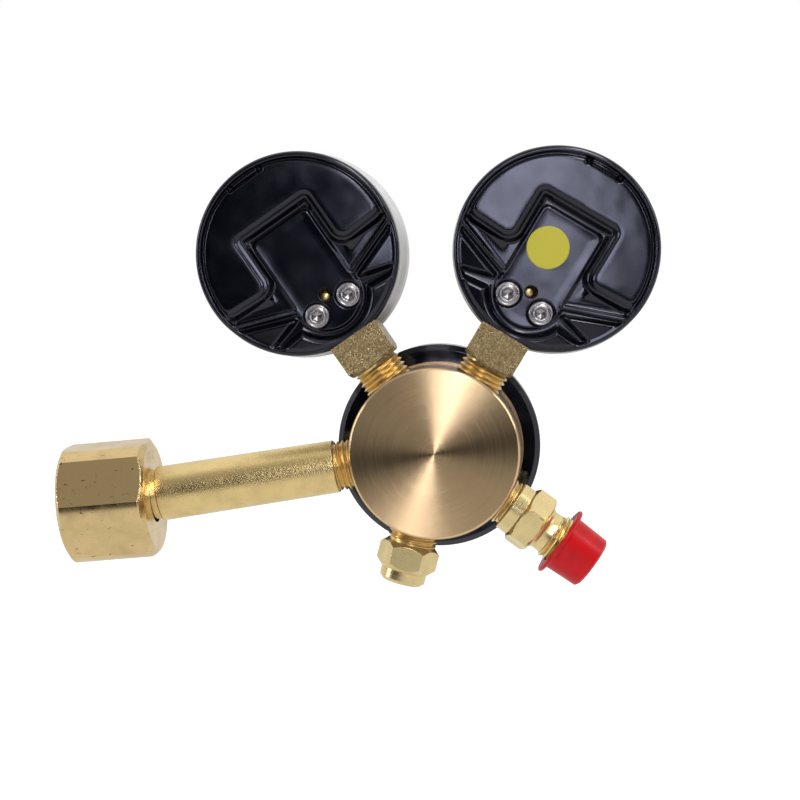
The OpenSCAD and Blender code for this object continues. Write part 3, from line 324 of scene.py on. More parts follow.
def steel(name, tone, rough, grain=1.5):
    m, t, s = material(name, tone, rough, 1.0)
    fine = t.noise(t.place(), grain, 4.0, 0.65)
    t.put(s.inputs["Base Color"], t.blend(t.span(fine, 0.35, 0.7), tone, [0.68 * c for c in tone]))
    t.put(s.inputs["Roughness"], t.span(fine, 0.3, 0.7, rough - 0.05, rough + 0.1))
    t.put(s.inputs["Normal"], t.bump(fine, 0.008 * MM, 0.4, t.bevel(0.12)))
    return m


def moulded(name, tone, rough, grain, depth, **sockets):
    """Moulded plastic or rubber with a fine grain."""
    m, t, s = material(name, tone, rough, 0.0, **sockets)
    where = t.place()
    fine = t.noise(where, grain, 3.0, 0.6)
    cloud = t.noise(where, 0.15, 3.0)
    t.put(s.inputs["Base Color"], t.blend(t.span(cloud, 0.35, 0.7), tone, [0.8 * c for c in tone]))
    t.put(s.inputs["Roughness"], t.span(fine, 0.3, 0.7, rough - 0.05, rough + 0.08))
    t.put(s.inputs["Normal"], t.bump(fine, depth * MM, 0.6, t.bevel(0.3)))
    return m


def cap_red():
    """Soft red cap, handled: a few pale scuffs and a slightly waxy skin."""
    m, t, s = material("soft_red", (0.55, 0.002, 0.006), 0.36, 0.0, Specular_IOR_Level=0.25)
    where = t.place((-REACH, 0, 0), (0, math.radians(135), 0))
    cloud = t.noise(where, 0.35, 3.0)
    scuff = t.noise(where, 1.3, 5.0, 0.75, 0.6)
    skin = t.noise(where, 2.2, 3.0, 0.5)
    color = t.blend(t.span(cloud, 0.35, 0.7), (0.58, 0.002, 0.007), (0.46, 0.0015, 0.004))
    color = t.blend(t.span(scuff, 0.66, 0.78, 0.0, 0.55), color, (0.85, 0.33, 0.33))
    t.put(s.inputs["Base Color"], color)
    t.put(s.inputs["Roughness"], t.span(cloud, 0.3, 0.7, 0.28, 0.42))
    t.put(s.inputs["Normal"], t.bump(skin, 0.03 * MM, 0.4, t.bevel(0.4)))
    return m


def printed(name, tone, rough):
    """Even paint or print."""
    m, t, s = material(name, tone, rough)
    fine = t.noise(t.place(), 6.0, 2.0)
    t.put(s.inputs["Base Color"], t.blend(t.span(fine, 0.3, 0.7, 0.0, 0.25), tone, [0.86 * c for c in tone]))
    t.put(s.inputs["Roughness"], t.span(fine, 0.3, 0.7, rough - 0.05, rough + 0.06))
    return m


def window_glass():
    """Clear window that lets light through to the dial without a full shadow."""
    m, t, s = material("clear_window", (0.97, 0.985, 0.98), 0.02, 0.0, Transmission_Weight=1.0, IOR=1.49)
    haze = t.noise(t.place(), 0.25, 4.0, 0.7)
    t.put(s.inputs["Roughness"], t.span(haze, 0.5, 0.85, 0.015, 0.07))
    through = t.add("ShaderNodeBsdfTransparent", {"Color": (0.93, 0.95, 0.95)})
    path = t.add("ShaderNodeLightPath").outputs
    fac = t.math("MAXIMUM", path["Is Shadow Ray"], path["Is Diffuse Ray"])
    mix = t.add("ShaderNodeMixShader", {0: fac, 1: s.outputs[0], 2: through.outputs[0]})
    out = m.node_tree.nodes["Material Output"]
    t.put(out.inputs["Surface"], mix.outputs[0])
    return m


def aim(angle):
    """Turn that lays a port's axis along local Z."""
    return (0, math.radians(angle - 90) * -1, 0)


body_centre = (-REACH, 0, 0)
M = {  # every material, by its look's name
    "face": turned_face(),
    "tube": brass_part("brass_tube", body_centre, aim(180), (0.84, 0.635, 0.285), 0.22, 0.5, 0.6, 1.8),
    "nut": brass_part("brass_nut", (0, 0, 0), aim(180), (0.745, 0.55, 0.265), 0.2, 0.08, 0.12, nicks=0.9),
    "outlet": brass_part("brass_outlet", body_centre, aim(OUTLET), (0.88, 0.70, 0.34), 0.25, 0.3, 0.25),
    "relief": brass_part("brass_relief", body_centre, aim(RELIEF), (0.86, 0.68, 0.34), 0.27, 0.3, 0.3),
    "block": forged_block(),
    "thread": thread_brass(),
    "inner_brass": brass_part("brass_inner", body_centre, (0, 0, 0), (0.80, 0.60, 0.28), 0.3, 0.2, 0.4),
    "case": enamel("black_enamel", (0.0006, 0.0006, 0.0026), 0.165, 0.2),
    "bonnet": enamel("black_bonnet", (0.001, 0.001, 0.0015), 0.11, 0.2),
    "ring": satin_ring(),
    "steel": steel("bright_steel", (0.42, 0.395, 0.40), 0.27, 0.9),
    "spring": steel("spring_steel", (0.30, 0.31, 0.33), 0.33, 2.5),
    "bronze": steel("phosphor_bronze", (0.72, 0.45, 0.24), 0.3),
    "filter": moulded("sintered_bronze", (0.42, 0.28, 0.13), 0.6, 4.0, 0.2),
    "knob": moulded("knob_plastic", (0.012, 0.012, 0.014), 0.42, 4.0, 0.05),
    "knob_cap": moulded("knob_cap_plastic", (0.02, 0.02, 0.022), 0.33, 6.0, 0.02),
    "rubber": moulded("seal_rubber", (0.02, 0.02, 0.02), 0.6, 3.0, 0.03),
    "white_seal": moulded("white_seal", (0.78, 0.77, 0.72), 0.45, 2.0, 0.02),
    "red": cap_red(),
    "dial": printed("dial_white", (0.84, 0.84, 0.81), 0.45),
    "print": printed("print_black", (0.012, 0.012, 0.014), 0.4),
    "print_red": printed("print_red", (0.55, 0.02, 0.015), 0.4),
    "sticker": printed("yellow_sticker", (0.46, 0.41, 0.015), 0.42),
    "pointer": printed("pointer_black", (0.015, 0.015, 0.016), 0.5),
    "glass": window_glass(),
    "dark": printed("dark_hollow", (0.004, 0.004, 0.004), 0.7),
}

looks = {
    "body": "face", "bonnet": "bonnet", "slip_ring": "inner_brass", "diaphragm": "rubber",
    "diaphragm_plate": "steel", "main_spring": "spring", "valve_nozzle": "inner_brass",
    "valve_pin": "steel", "poppet": "inner_brass", "poppet_seal": "white_seal",
    "poppet_spring": "spring", "spring_follower": "inner_brass", "adjusting_screw": "steel",
    "thrust_washer": "white_seal", "knob": "knob", "knob_nut": "steel", "knob_cap": "knob_cap",
    "inlet_tube": "tube", "inlet_nipple": "outlet", "inlet_seal": "white_seal", "inlet_filter": "filter",
    "inlet_nut": "nut", "outlet_adaptor": "outlet", "outlet_cap": "red", "relief_body": "relief",
    "relief_cap": "relief", "relief_poppet": "inner_brass", "relief_spring": "spring",
}
for which in ("supply", "delivery"):
    for node, look in {
        "socket": "block", "case_back": "case", "case_ring": "ring", "window": "glass", "dial": "dial",
        "back_screws": "steel", "bourdon_tube": "bronze", "tube_tip": "inner_brass", "link": "steel",
        "movement_frame": "inner_brass", "sector": "inner_brass", "pinion": "inner_brass",
        "hairspring": "spring", "pointer": "pointer",
    }.items():
        looks[which + "_" + node] = look
for name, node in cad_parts.items():
    node.data.materials.clear()
    node.data.materials.append(M[looks[name]])

# Springs as their own coil objects on the regulator, in place of the CAD springs

relief_way = (-math.cos(math.radians(RELIEF)), 0.0, math.sin(math.radians(RELIEF)))
for node, joint, way, travel in (
    ("main_spring", "follower_slide", (0.0, 1.0, 0.0), 4.5),
    ("poppet_spring", "valve_lift", (0.0, 1.0, 0.0), 0.8),
    ("relief_spring", "relief_lift", relief_way, 1.5),
):
    coils = bpy.data.objects.new(node + "_coils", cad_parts[node].data.copy())
    bpy.context.scene.collection.objects.link(coils)
    way = Vector(way)
    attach(coils, "regulator")
    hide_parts(node)
    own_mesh(coils)

# Mesh helpers


def piece(name, verts, faces, looks_like, at=None, body="regulator", sharp=30.0, slots=None):
    """A mesh piece from points in millimetres in a frame, riding on a CAD body."""
    at = at or Matrix.Identity(4)
    mesh = bpy.data.meshes.new(name)
    mesh.from_pydata([(at @ Vector(v)) * MM for v in verts], [], faces)
    for look in ([looks_like] if isinstance(looks_like, str) else looks_like):
        mesh.materials.append(M[look])
    if slots:
        for poly, slot in zip(mesh.polygons, slots):
            poly.material_index = slot
    mesh.validate()
    made = bpy.data.objects.new(name, mesh)
    bpy.context.scene.collection.objects.link(made)
    for poly in mesh.polygons:
        poly.use_smooth = True
    if sharp < 180:
        mesh.set_sharp_from_angle(angle=math.radians(sharp))
    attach(made, body)
    return made


def grid_faces(rows, cols, wrap=True):
    """Four-sided faces between rows of points, closed round each row if it wraps."""
    out = []
    for i in range(rows - 1):
        for j in range(cols if wrap else cols - 1):
            k = (j + 1) % cols
            a = i * cols
            out.append((a + j, a + k, a + cols + k, a + cols + j))
    return out


def lathe(profile, count=96):
    """Points and faces of a profile of (radius, height) turned about Z."""
    verts = []
    for r, z in profile:
        for j in range(count):
            a = 2 * math.pi * j / count
            verts.append((r * math.cos(a), r * math.sin(a), z))
    return verts, grid_faces(len(profile), count)


def join(*parts):
    """Several pairs of points and faces as one pair."""
    verts, faces = [], []
    for v, f in parts:
        n = len(verts)
        verts += v
        faces += [tuple(i + n for i in face) for face in f]
    return verts, faces


def helix(root, crest, pitch, start, end, per_turn=56):
    """One thread ridge as a strip set into its wall; a crest below the root makes an inner thread."""
    fade = 0.35  # turns over which the ridge grows at its ends
    sink = 0.06  # how far its foot goes into the wall
    turns = (end - start) / pitch
    steps = int(turns * per_turn)
    over = sink if crest > root else -sink
    flank = [(-0.5, 0.0), (-0.1, 0.94), (-0.05, 1.0), (0.05, 1.0), (0.1, 0.94), (0.5, 0.0)]
    verts = []
    for i in range(steps + 1):
        turn = i / per_turn
        a = 2 * math.pi * turn
        grow = max(0.0, min(1.0, turn / fade, (turns - turn) / fade))
        for off, up in flank:
            r = root - over + (crest - root + over) * up * grow
            z = min(max(start + turn * pitch + off * pitch, start), end)
            verts.append((r * math.cos(a), r * math.sin(a), z))
    return verts, grid_faces(steps + 1, len(flank), wrap=False)


def hex_radius(a, flats, turned, spin):
    """Distance from the axis to a hexagon's side whose corners are turned to a diameter."""
    a = (a - math.radians(spin)) % math.radians(60) - math.radians(30)
    return min(flats / 2 / math.cos(a), turned / 2)


def hex_body(flats, turned, low, high, cut_r, cut_h, bore, spin):
    """Hexagon along Z with turned corners and chamfered ends, closed by a bore's profile."""
    count = 360
    steps = [0.0, 0.04, 0.1, 0.2, 0.35, 0.55, 0.8, 1.1, 1.5, 2.0]
    zs = [low + s for s in steps] + [high - s for s in reversed(steps)]
    corner = math.acos(flats / turned)
    angles = sorted({round(2 * math.pi * j / count, 6) for j in range(count)} |
                    {round((math.radians(60 * k + 30 + spin) + side * corner) % (2 * math.pi), 6)
                     for k in range(6) for side in (-1, 1)})
    verts = []
    slope = cut_r / cut_h
    for z in zs:
        for a in angles:
            away = min(z - low, high - z)
            r = min(hex_radius(a, flats, turned, spin), turned / 2 - cut_r + away * slope)
            verts.append((r * math.cos(a), r * math.sin(a), z))
    n = len(angles)
    rows = len(zs)
    for r, z in bore:
        for a in angles:
            verts.append((r * math.cos(a), r * math.sin(a), z))
    faces = grid_faces(rows + len(bore), n)
    last = (rows + len(bore) - 1) * n
    faces += [(last + j, last + (j + 1) % n, (j + 1) % n, j) for j in range(n)]
    return verts, faces


def smooth(a, b, v):
    """0 where v is at a, 1 where it is at b, with a soft start and end."""
    t = max(0.0, min(1.0, (v - a) / (b - a)))
    return t * t * (3 - 2 * t)


# Threads between body and fittings

PITCH = 1.337  # G 1/4
PORT_ROOT, PORT_CREST = 5.8, 6.55
BODY_SIDE = 20.9  # where a port's thread leaves the body

for name, angle, high in (
    ("supply_stem_thread", SUPPLY[0], 28.0),
    ("delivery_stem_thread", DELIVERY[0], 26.5),
    ("inlet_tube_thread", 180.0, 26.9),
    ("relief_thread", RELIEF, 25.5),
):
    verts, faces = helix(PORT_ROOT, PORT_CREST, PITCH, BODY_SIDE, high)
    obj = piece(name, verts, faces, "thread", port(angle), sharp=35)

# Union nut with its W21.8 thread

NUT_LOW, NUT_HIGH = 76.5, 100.0
NUT_FLATS, NUT_CORNERS, NUT_TURN = 30.0, 32.5, 25.0
NUT_PITCH = 1.814
SEAT = 84.0  # where the nut sits on the nipple, and rocks a little
ROCK = -4.0

nut_bore = [(11.1, NUT_HIGH), (10.7, 99.6), (10.7, 86.4), (10.5, 86.0), (10.54, 84.2), (10.54, 79.9),
            (6.9, 79.9), (6.9, NUT_LOW)]
verts, faces = join(
    hex_body(NUT_FLATS, NUT_CORNERS, NUT_LOW, NUT_HIGH, 2.0, 1.2, nut_bore, NUT_TURN),
    helix(10.75, 9.78, NUT_PITCH, 86.2, 99.4, 72),
)
cocked = (Matrix.Translation((0, 0, SEAT)) @ Matrix.Rotation(math.radians(ROCK), 4, "Y") @
          Matrix.Translation((0, 0, -SEAT)))
obj = piece("union_nut_threaded", verts, faces, "nut", port(180.0) @ cocked, "union_nut", sharp=14)
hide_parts("inlet_nut")

# Outlet adaptor

OUT = 24.2  # the adaptor's shoulder outside the body
BORE = 2.5
OUTLET_FLATS, OUTLET_CORNERS, OUTLET_TURN = 15.0, 16.95, 10.8
OUTLET_ROOT, OUTLET_CREST = 5.8, 6.5
hex_low, hex_high = OUT + 3.6, OUT + 10.1
hose_low = hex_high + 3.4
hose_high = hose_low + 11.5
verts, faces = join(
    lathe([(BORE, OUT - 10.6), (5.7, OUT - 10.6), (6.5, OUT - 9.6), (6.5, 21.3), (OUTLET_ROOT, 21.3),
           (OUTLET_ROOT, OUT), (6.55, OUT), (6.9, OUT + 0.35), (6.9, hex_low - 0.1), (6.7, hex_low + 0.1)]),
    hex_body(OUTLET_FLATS, OUTLET_CORNERS, hex_low, hex_high, 1.4, 0.9,
             [(BORE, hex_high), (BORE, hex_low)], OUTLET_TURN),
    lathe([(6.1, hex_high - 0.3), (6.1, hex_high + 0.25), (5.9, hex_high + 0.55), (5.6, hex_high + 1.1),
           (5.6, hose_low - 0.7), (OUTLET_ROOT, hose_low - 0.1), (OUTLET_ROOT, hose_high - 0.9),
           (5.3, hose_high), (4.3, hose_high), (BORE, hose_high - 3.0), (BORE, hex_high)]),
    helix(OUTLET_ROOT, OUTLET_CREST, PITCH, BODY_SIDE, OUT - 0.05),
    helix(OUTLET_ROOT, OUTLET_CREST, PITCH, hose_low - 0.1, hose_high - 0.2),
)
obj = piece("outlet_adaptor_threaded", verts, faces, "outlet", port(OUTLET), sharp=20)
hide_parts("outlet_adaptor")

# Stamped gauge backs


def round_box(x, z, cx, cz, hx, hz, r):
    """Signed distance from a box with rounded corners, negative inside."""
    dx, dz = abs(x - cx) - hx + r, abs(z - cz) - hz + r
    return math.hypot(max(dx, 0), max(dz, 0)) + min(max(dx, dz), 0) - r


def left_of(x, z, a, b):
    """Signed distance from the line through a and b, positive on its left."""
    ex, ez = b[0] - a[0], b[1] - a[1]
    return ((z - a[1]) * ex - (x - a[0]) * ez) / math.hypot(ex, ez)


def rounded_min(a, b, r):
    """Distance inside two edges at once, with their corner rounded to r."""
    if a < r and b < r:
        return r - math.hypot(r - a, r - b)
    return min(a, b)


def segment(x, z, a, b):
    """Distance from the line between a and b, and how far along it the nearest point is, 0 to 1."""
    ex, ez = b[0] - a[0], b[1] - a[1]
    t = max(0.0, min(1.0, ((x - a[0]) * ex + (z - a[1]) * ez) / (ex * ex + ez * ez)))
    return math.hypot(x - a[0] - t * ex, z - a[1] - t * ez), t


# heights over the port plane
FLOOR_Y, PAD_Y, LEDGE_Y, PLATEAU_Y, RIM_Y = 4.8, 5.7, 7.2, 7.8, 7.7
# places on a back: (x across, z away from the stem), or z alone on the middle line
RIM_IN = 25.7
LOBE_LOW = (10.2, -14.8), (19.1, -17.3)
LOBE_HIGH = (24.1, -8.0), (10.3, -13.3)
RIDGE = (8.8, -12.1), (26.5, -5.7)
SCREW_X, SCREW_Z = 5.0, -16.3
PIT_X, PIT_Z, GROOVE_Z = 4.6, 23.6, 23.3
VENT_Z, VENT_R = -12.8, 1.72


def smooth_max(a, b, k):
    """The larger of a and b, rounded where they are less than k apart."""
    h = max(k - abs(a - b), 0.0) / k
    return max(a, b) + h * h * k * 0.25


def stamped(x, z):
    """Height of the pressed back over the port plane, x across and z away from the stem."""
    ax, r = abs(x), math.hypot(x, z)
    h = FLOOR_Y
    # half moon with its window for the pad, a small step and then a soft wall
    edge = -2.75 + 0.05 * (ax - 13)
    hole = round_box(x, z, 0, -8.0, 12.1, 20.9, 2.6)
    inside = rounded_min(rounded_min(z - edge, 24.3 - r, 1.8), hole, 2.4)
    ledge = LEDGE_Y - 0.14 * max(0.0, min(1.7, -0.3 - inside))
    crown = -0.07 * max(0.0, 1 - max(inside, 0.0) / 1.4) ** 2
    h = max(h, FLOOR_Y + (ledge - FLOOR_Y) * smooth(-3.3, -1.5, inside) +
            (PLATEAU_Y + crown - LEDGE_Y) * smooth(-0.6, 0.1, inside))
    # gusset falling from the half moon to a valley that runs out to the rim
    valley = -10.4 + 0.42 * (ax - 9.2)
    rise = (z - valley) / (edge - valley)
    open_side = smooth(-1.2, 1.6, ax - 12.6 - 0.3 * (z + 3.5))
    if 0 < rise < 1.3:
        h = smooth_max(h, FLOOR_Y + 1.9 * smooth(0.0, 1.15, rise) * open_side, 0.5)
    # pad for the socket, round about the screws, a little dished
    pad = round_box(x, z, 0, -3.6, 8.7, 12.3, 1.8)
    pad = min(pad, math.hypot(x, z + 13.2) - 9.0)
    dish = 0.16 * max(0.0, 1 + min(pad, 0.0) / 3.0) ** 2
    h = max(h, FLOOR_Y - 0.1 + (PAD_Y + dish - FLOOR_Y + 0.1) * smooth(0.8, -0.4, pad))
    # narrow ridge, then a lobe on each side, then the crescent round the screws
    d, t = segment(ax, z, *RIDGE)
    h = smooth_max(h, FLOOR_Y + (0.9 + 1.3 * t) * smooth(1.1, 0.3, d), 0.4)
    lobe = smooth(-0.3, 1.6, left_of(ax, z, *LOBE_LOW)) * smooth(-0.3, 1.2, left_of(ax, z, *LOBE_HIGH))
    h = smooth_max(h, FLOOR_Y + (2.9 - 0.11 * (r - 15.0)) * lobe * smooth(9.6, 10.6, ax), 0.4)
    foot = max(10.9 - math.hypot(x, z + 12.6), z + 15.7 + 0.1 * ax)
    h = smooth_max(h, FLOOR_Y + (3.0 - 0.1 * (r - 20.0)) * smooth(0.5, -2.2, foot), 0.5)
    # shallow valley inside the rolled rim, which the lobes run into
    upper = smooth(-6.0, -2.0, z)
    h = h + (6.7 - h) * smooth(24.0, 24.7, r) * upper
    h = h + (rim_height(z / max(r, 1e-6)) - h) * smooth(24.7, 25.6, r)
    # two pits with a groove between them, opposite the stem
    d, t = segment(x, z, (-PIT_X, GROOVE_Z), (PIT_X, GROOVE_Z))
    h -= 1.3 * smooth(0.6, 0.1, d) + 1.2 * smooth(1.1, 0.5, math.hypot(ax - PIT_X, z - PIT_Z))
    # round seats sunk for the screws
    for side in (-1, 1):
        seat = math.hypot(x - side * SCREW_X, z - SCREW_Z)
        h = h + (PAD_Y - 0.5 - h) * smooth(3.7, 3.35, seat)
    return h


def rim_height(up):
    """The rolled rim is a bead above and lies lower where the lobes meet it."""
    return RIM_Y - 1.0 * smooth(-0.1, -0.3, up)


def stamped_mesh():
    """The pressed back: a fine grid inside the rim, the rolled rim and skirt, and the vent's dome."""
    step, around = 0.2, 192
    n = int(RIM_IN / step) + 1
    index, verts = {}, []
    for i in range(-n, n + 1):
        for j in range(-n, n + 1):
            x, z = i * step, j * step
            r = math.hypot(x, z)
            if r > RIM_IN + step:
                continue
            if r > RIM_IN - 0.02:
                x, z = x * RIM_IN / r, z * RIM_IN / r
            vent = math.hypot(x, z - VENT_Z)
            if 1.3 < vent < 1.86:
                x, z = x * VENT_R / vent, (z - VENT_Z) * VENT_R / vent + VENT_Z
            index[i, j] = len(verts)
            verts.append((-x, z, -stamped(x, z)))
    faces, slots = [], []
    for (i, j), a in index.items():
        ring = [index.get(k) for k in ((i + 1, j), (i + 1, j + 1), (i, j + 1))]
        if None in ring:
            continue
        if math.hypot((i + 0.5) * step, (j + 0.5) * step - VENT_Z) > VENT_R - 0.1:
            faces.append((a, *ring))
            slots.append(0)
    bead = [(RIM_IN - 0.02, 0.0), (25.95, 0.0), (26.2, -0.08), (26.42, -0.28), (26.6, -0.6), (26.72, -1.0),
            (26.78, -1.5)]
    skirt = [(26.78, -2.2), (26.68, -2.05), (26.3, -2.01), (25.6, -2.01), (25.6, -4.0), (24.0, -4.2),
             (1.9, -4.2), (VENT_R, -4.3), (VENT_R, -PAD_Y - 0.02)]
    lv, lf = lathe([(r, 0.0) for r, h in bead] + skirt, around)
    for k, (r, h) in enumerate(bead):
        for m in range(k * around, (k + 1) * around):
            lv[m] = (lv[m][0], lv[m][1], -rim_height(lv[m][1] / r) - h)
    # the last three rings are the vent, set off towards the stem
    vent = (len(bead) + len(skirt) - 3) * around
    lv[vent:] = [(x, y + VENT_Z, z) for x, y, z in lv[vent:]]
    base = len(verts)
    verts += lv
    faces += [tuple(k + base for k in f) for f in lf]
    slots += [0] * len(lf)
    # a low brass dome off centre in the vent
    base, fan = len(verts), 24
    dome_x, dome_z, dome_r = 0.6, -13.3, 1.25
    verts.append((dome_x, dome_z, -4.85))
    for k in range(fan):
        a = 2 * math.pi * k / fan
        verts.append((dome_x + dome_r * math.cos(a), dome_z + dome_r * math.sin(a), -4.2))
    faces += [(base, base + 1 + k, base + 1 + (k + 1) % fan) for k in range(fan)]
    slots += [1] * fan
    return verts, faces, slots


back_verts, back_faces, back_slots = stamped_mesh()


def screw_head(cx, cy):
    """Pan head with a six-lobed recess, a shallow turned groove and a rounded edge."""
    recess = [(0.0, 5.3), (0.3, 5.32), (0.6, 5.4), (0.9, 5.52), (1.2, 5.6), (1.32, 5.75), (1.42, 6.25),
              (1.5, 6.45)]
    top = [(1.62, 6.52), (1.9, 6.52), (2.3, 6.5), (2.42, 6.4), (2.5, 6.38), (2.58, 6.42), (2.68, 6.5)]
    edge = [(2.85, 6.48), (3.05, 6.32), (3.18, 6.08), (3.26, 5.75), (3.28, 5.4), (3.28, 4.6)]
    profile = recess + top + edge
    around = 72
    verts = []
    for r, y in profile:
        for j in range(around):
            a = 2 * math.pi * j / around
            lobed = r * (1 + 0.07 * math.cos(6 * a)) if 0.8 < r < 1.55 else r
            verts.append((cx + lobed * math.cos(a), cy + lobed * math.sin(a), -y))
    return verts, grid_faces(len(profile), around)


for which, name in ((SUPPLY, "supply"), (DELIVERY, "delivery")):
    obj = piece(name + "_stamped_back", back_verts, back_faces, ["case", "inner_brass"], gauge(which),
                sharp=180, slots=back_slots)
    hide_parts(name + "_case_back")
    verts, faces = join(screw_head(-SCREW_X, SCREW_Z), screw_head(SCREW_X, SCREW_Z))
    obj = piece(name + "_pan_screws", verts, faces, "steel", gauge(which), sharp=60)
    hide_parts(name + "_back_screws")

# Sticker on the delivery gauge's pad

verts, faces = lathe([(0.0, -5.92), (5.2, -5.93), (5.5, -5.92), (5.56, -5.86), (5.56, -5.7)], 96)
stuck_at = gauge(DELIVERY) @ Matrix.Translation((2.2, -0.7, 0))
obj = piece("inspection_sticker", verts, faces, "sticker", stuck_at, sharp=180)

# Dial printing


ZERO, SWEEP = 225, 270  # degrees: where a scale starts, and how far it goes round clockwise
TICKS_OUT = 22.2
NUMBERS_R, NUMBERS_TALL = 15.6, 3.6


def marks(which, name, top, step, minor, red_from):
    """Ticks of a scale as thin plates, with plain numbers inside them and a red end."""
    at = gauge(which, DIAL_FACE)
    verts, faces, slots = [], [], []
    count = int(round(top / minor))
    for i in range(count + 1):
        value = i * minor
        a = math.radians(ZERO - SWEEP * value / top)
        major = abs(value / step - round(value / step)) < 1e-6
        inner, half = (18.6, 0.24) if major else (20.2, 0.11)
        c, s = math.cos(a), math.sin(a)
        n = len(verts)
        for z in (0.0, 0.05):
            for r, w in ((inner, -half), (TICKS_OUT, -half), (TICKS_OUT, half), (inner, half)):
                verts.append((r * c - w * s, r * s + w * c, z))
        faces.append((n + 4, n + 5, n + 6, n + 7))
        faces += [(n + k, n + (k + 1) % 4, n + 4 + (k + 1) % 4, n + 4 + k) for k in range(4)]
        slots += [0] * 5
    arc = 96
    for lo, hi, r0, r1, slot in ((0, top, TICKS_OUT, 22.5, 0), (red_from, top, 22.6, 23.4, 1)):
        n = len(verts)
        for k in range(arc + 1):
            a = math.radians(ZERO - SWEEP * (lo + (hi - lo) * k / arc) / top)
            for r in (r0, r1):
                verts.append((r * math.cos(a), r * math.sin(a), 0.05))
        faces += [(n + 2 * k, n + 2 * k + 1, n + 2 * k + 3, n + 2 * k + 2) for k in range(arc)]
        slots += [slot] * arc
    obj = piece(name + "_dial_scale", verts, faces, ["print", "print_red"], at, sharp=180, slots=slots)
    value = 0
    while value <= top + 1e-6:
        a = math.radians(ZERO - SWEEP * value / top)
        curve = bpy.data.curves.new(f"{name}_number_{value:g}", "FONT")
        curve.body = f"{value:g}"
        curve.size = NUMBERS_TALL * MM
        curve.align_x, curve.align_y = "CENTER", "CENTER"
        curve.extrude = 0.02 * MM
        curve.materials.append(M["print"])
        text = bpy.data.objects.new(curve.name, curve)
        bpy.context.scene.collection.objects.link(text)
        spot = at @ Matrix.Translation((NUMBERS_R * math.cos(a), NUMBERS_R * math.sin(a), 0.03))
        text.matrix_world = Matrix.Translation(spot.translation * MM) @ spot.to_3x3().to_4x4()
        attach(text, "regulator")
        value += step


marks(SUPPLY, "supply", 300, 50, 10, 200)
marks(DELIVERY, "delivery", 30, 5, 1, 25)

# Marks on the knob's front


ARROW_FROM, ARROW_SWEEP, ARROW_STEPS = 115.0, 130.0, 40
MARK_LOW, MARK_HIGH = 84.9, 85.5
SIGN_X, SIGN_LONG, SIGN_THIN = 5.2, 1.6, 0.35


def knob_marks():
    """A raised round arrow with a plus and a minus, as moulded on many adjusting knobs."""
    verts, faces = [], []

    def slab(outline):
        """A flat plate from its outline, without the side that lies on the knob."""
        n, m = len(verts), len(outline)
        for z in (MARK_LOW, MARK_HIGH):
            verts.extend((x, y, z) for x, y in outline)
        faces.append(tuple(n + m + k for k in range(m)))
        faces.extend((n + k, n + (k + 1) % m, n + m + (k + 1) % m, n + m + k) for k in range(m))

    def bar(x0, x1, y0, y1):
        slab([(x0, y0), (x1, y0), (x1, y1), (x0, y1)])

    step = ARROW_SWEEP / ARROW_STEPS
    for k in range(ARROW_STEPS):
        a, b = math.radians(ARROW_FROM - step * k), math.radians(ARROW_FROM - step * (k + 1))
        slab([(8.6 * math.cos(b), 8.6 * math.sin(b)), (8.6 * math.cos(a), 8.6 * math.sin(a)),
              (9.5 * math.cos(a), 9.5 * math.sin(a)), (9.5 * math.cos(b), 9.5 * math.sin(b))][::-1])
    end = math.radians(ARROW_FROM - ARROW_SWEEP)
    c, s = math.cos(end), math.sin(end)
    slab([(7.6 * c, 7.6 * s), (10.5 * c, 10.5 * s), (9.05 * c + 2.6 * s, 9.05 * s - 2.6 * c)][::-1])
    for cx in (-SIGN_X, SIGN_X):
        bar(cx - SIGN_LONG, cx + SIGN_LONG, -SIGN_THIN, SIGN_THIN)
    for lo, hi in ((-SIGN_LONG, -SIGN_THIN), (SIGN_THIN, SIGN_LONG)):
        bar(SIGN_X - SIGN_THIN, SIGN_X + SIGN_THIN, lo, hi)
    return verts, faces


verts, faces = knob_marks()
obj = piece("knob_arrow", verts, faces, "dial", KNOB_AXIS @ Matrix.Translation((0, 0, 0.9)), "knob_assembly")

# Floor, world and lamps

FLOOR_Z, FLOOR_HALF = -0.16, 8  # metres

floor_mesh = bpy.data.meshes.new("floor")
corners = [(x * FLOOR_HALF, y * FLOOR_HALF, FLOOR_Z) for x, y in ((-1, -1), (1, -1), (1, 1), (-1, 1))]
floor_mesh.from_pydata(corners, [], [(0, 1, 2, 3)])
floor = bpy.data.objects.new("floor", floor_mesh)
bpy.context.scene.collection.objects.link(floor)
floor_mat = bpy.data.materials.new("floor_pale")
floor_mat.use_nodes = True
t = Tree(floor_mat.node_tree)
floor_mat.node_tree.nodes.remove(floor_mat.node_tree.nodes["Principled BSDF"])
path = t.add("ShaderNodeLightPath").outputs
seen = t.math("MAXIMUM", t.math("MAXIMUM", path["Is Camera Ray"], path["Is Glossy Ray"]),
              path["Is Transmission Ray"])
paint = t.add("ShaderNodeBsdfDiffuse", {"Color": (0.86, 0.86, 0.86)})
lift = t.add("ShaderNodeEmission", {"Color": (1, 1, 1), "Strength": t.math("MULTIPLY", seen, 0.5)})
both = t.add("ShaderNodeAddShader", {0: paint.outputs[0], 1: lift.outputs[0]})
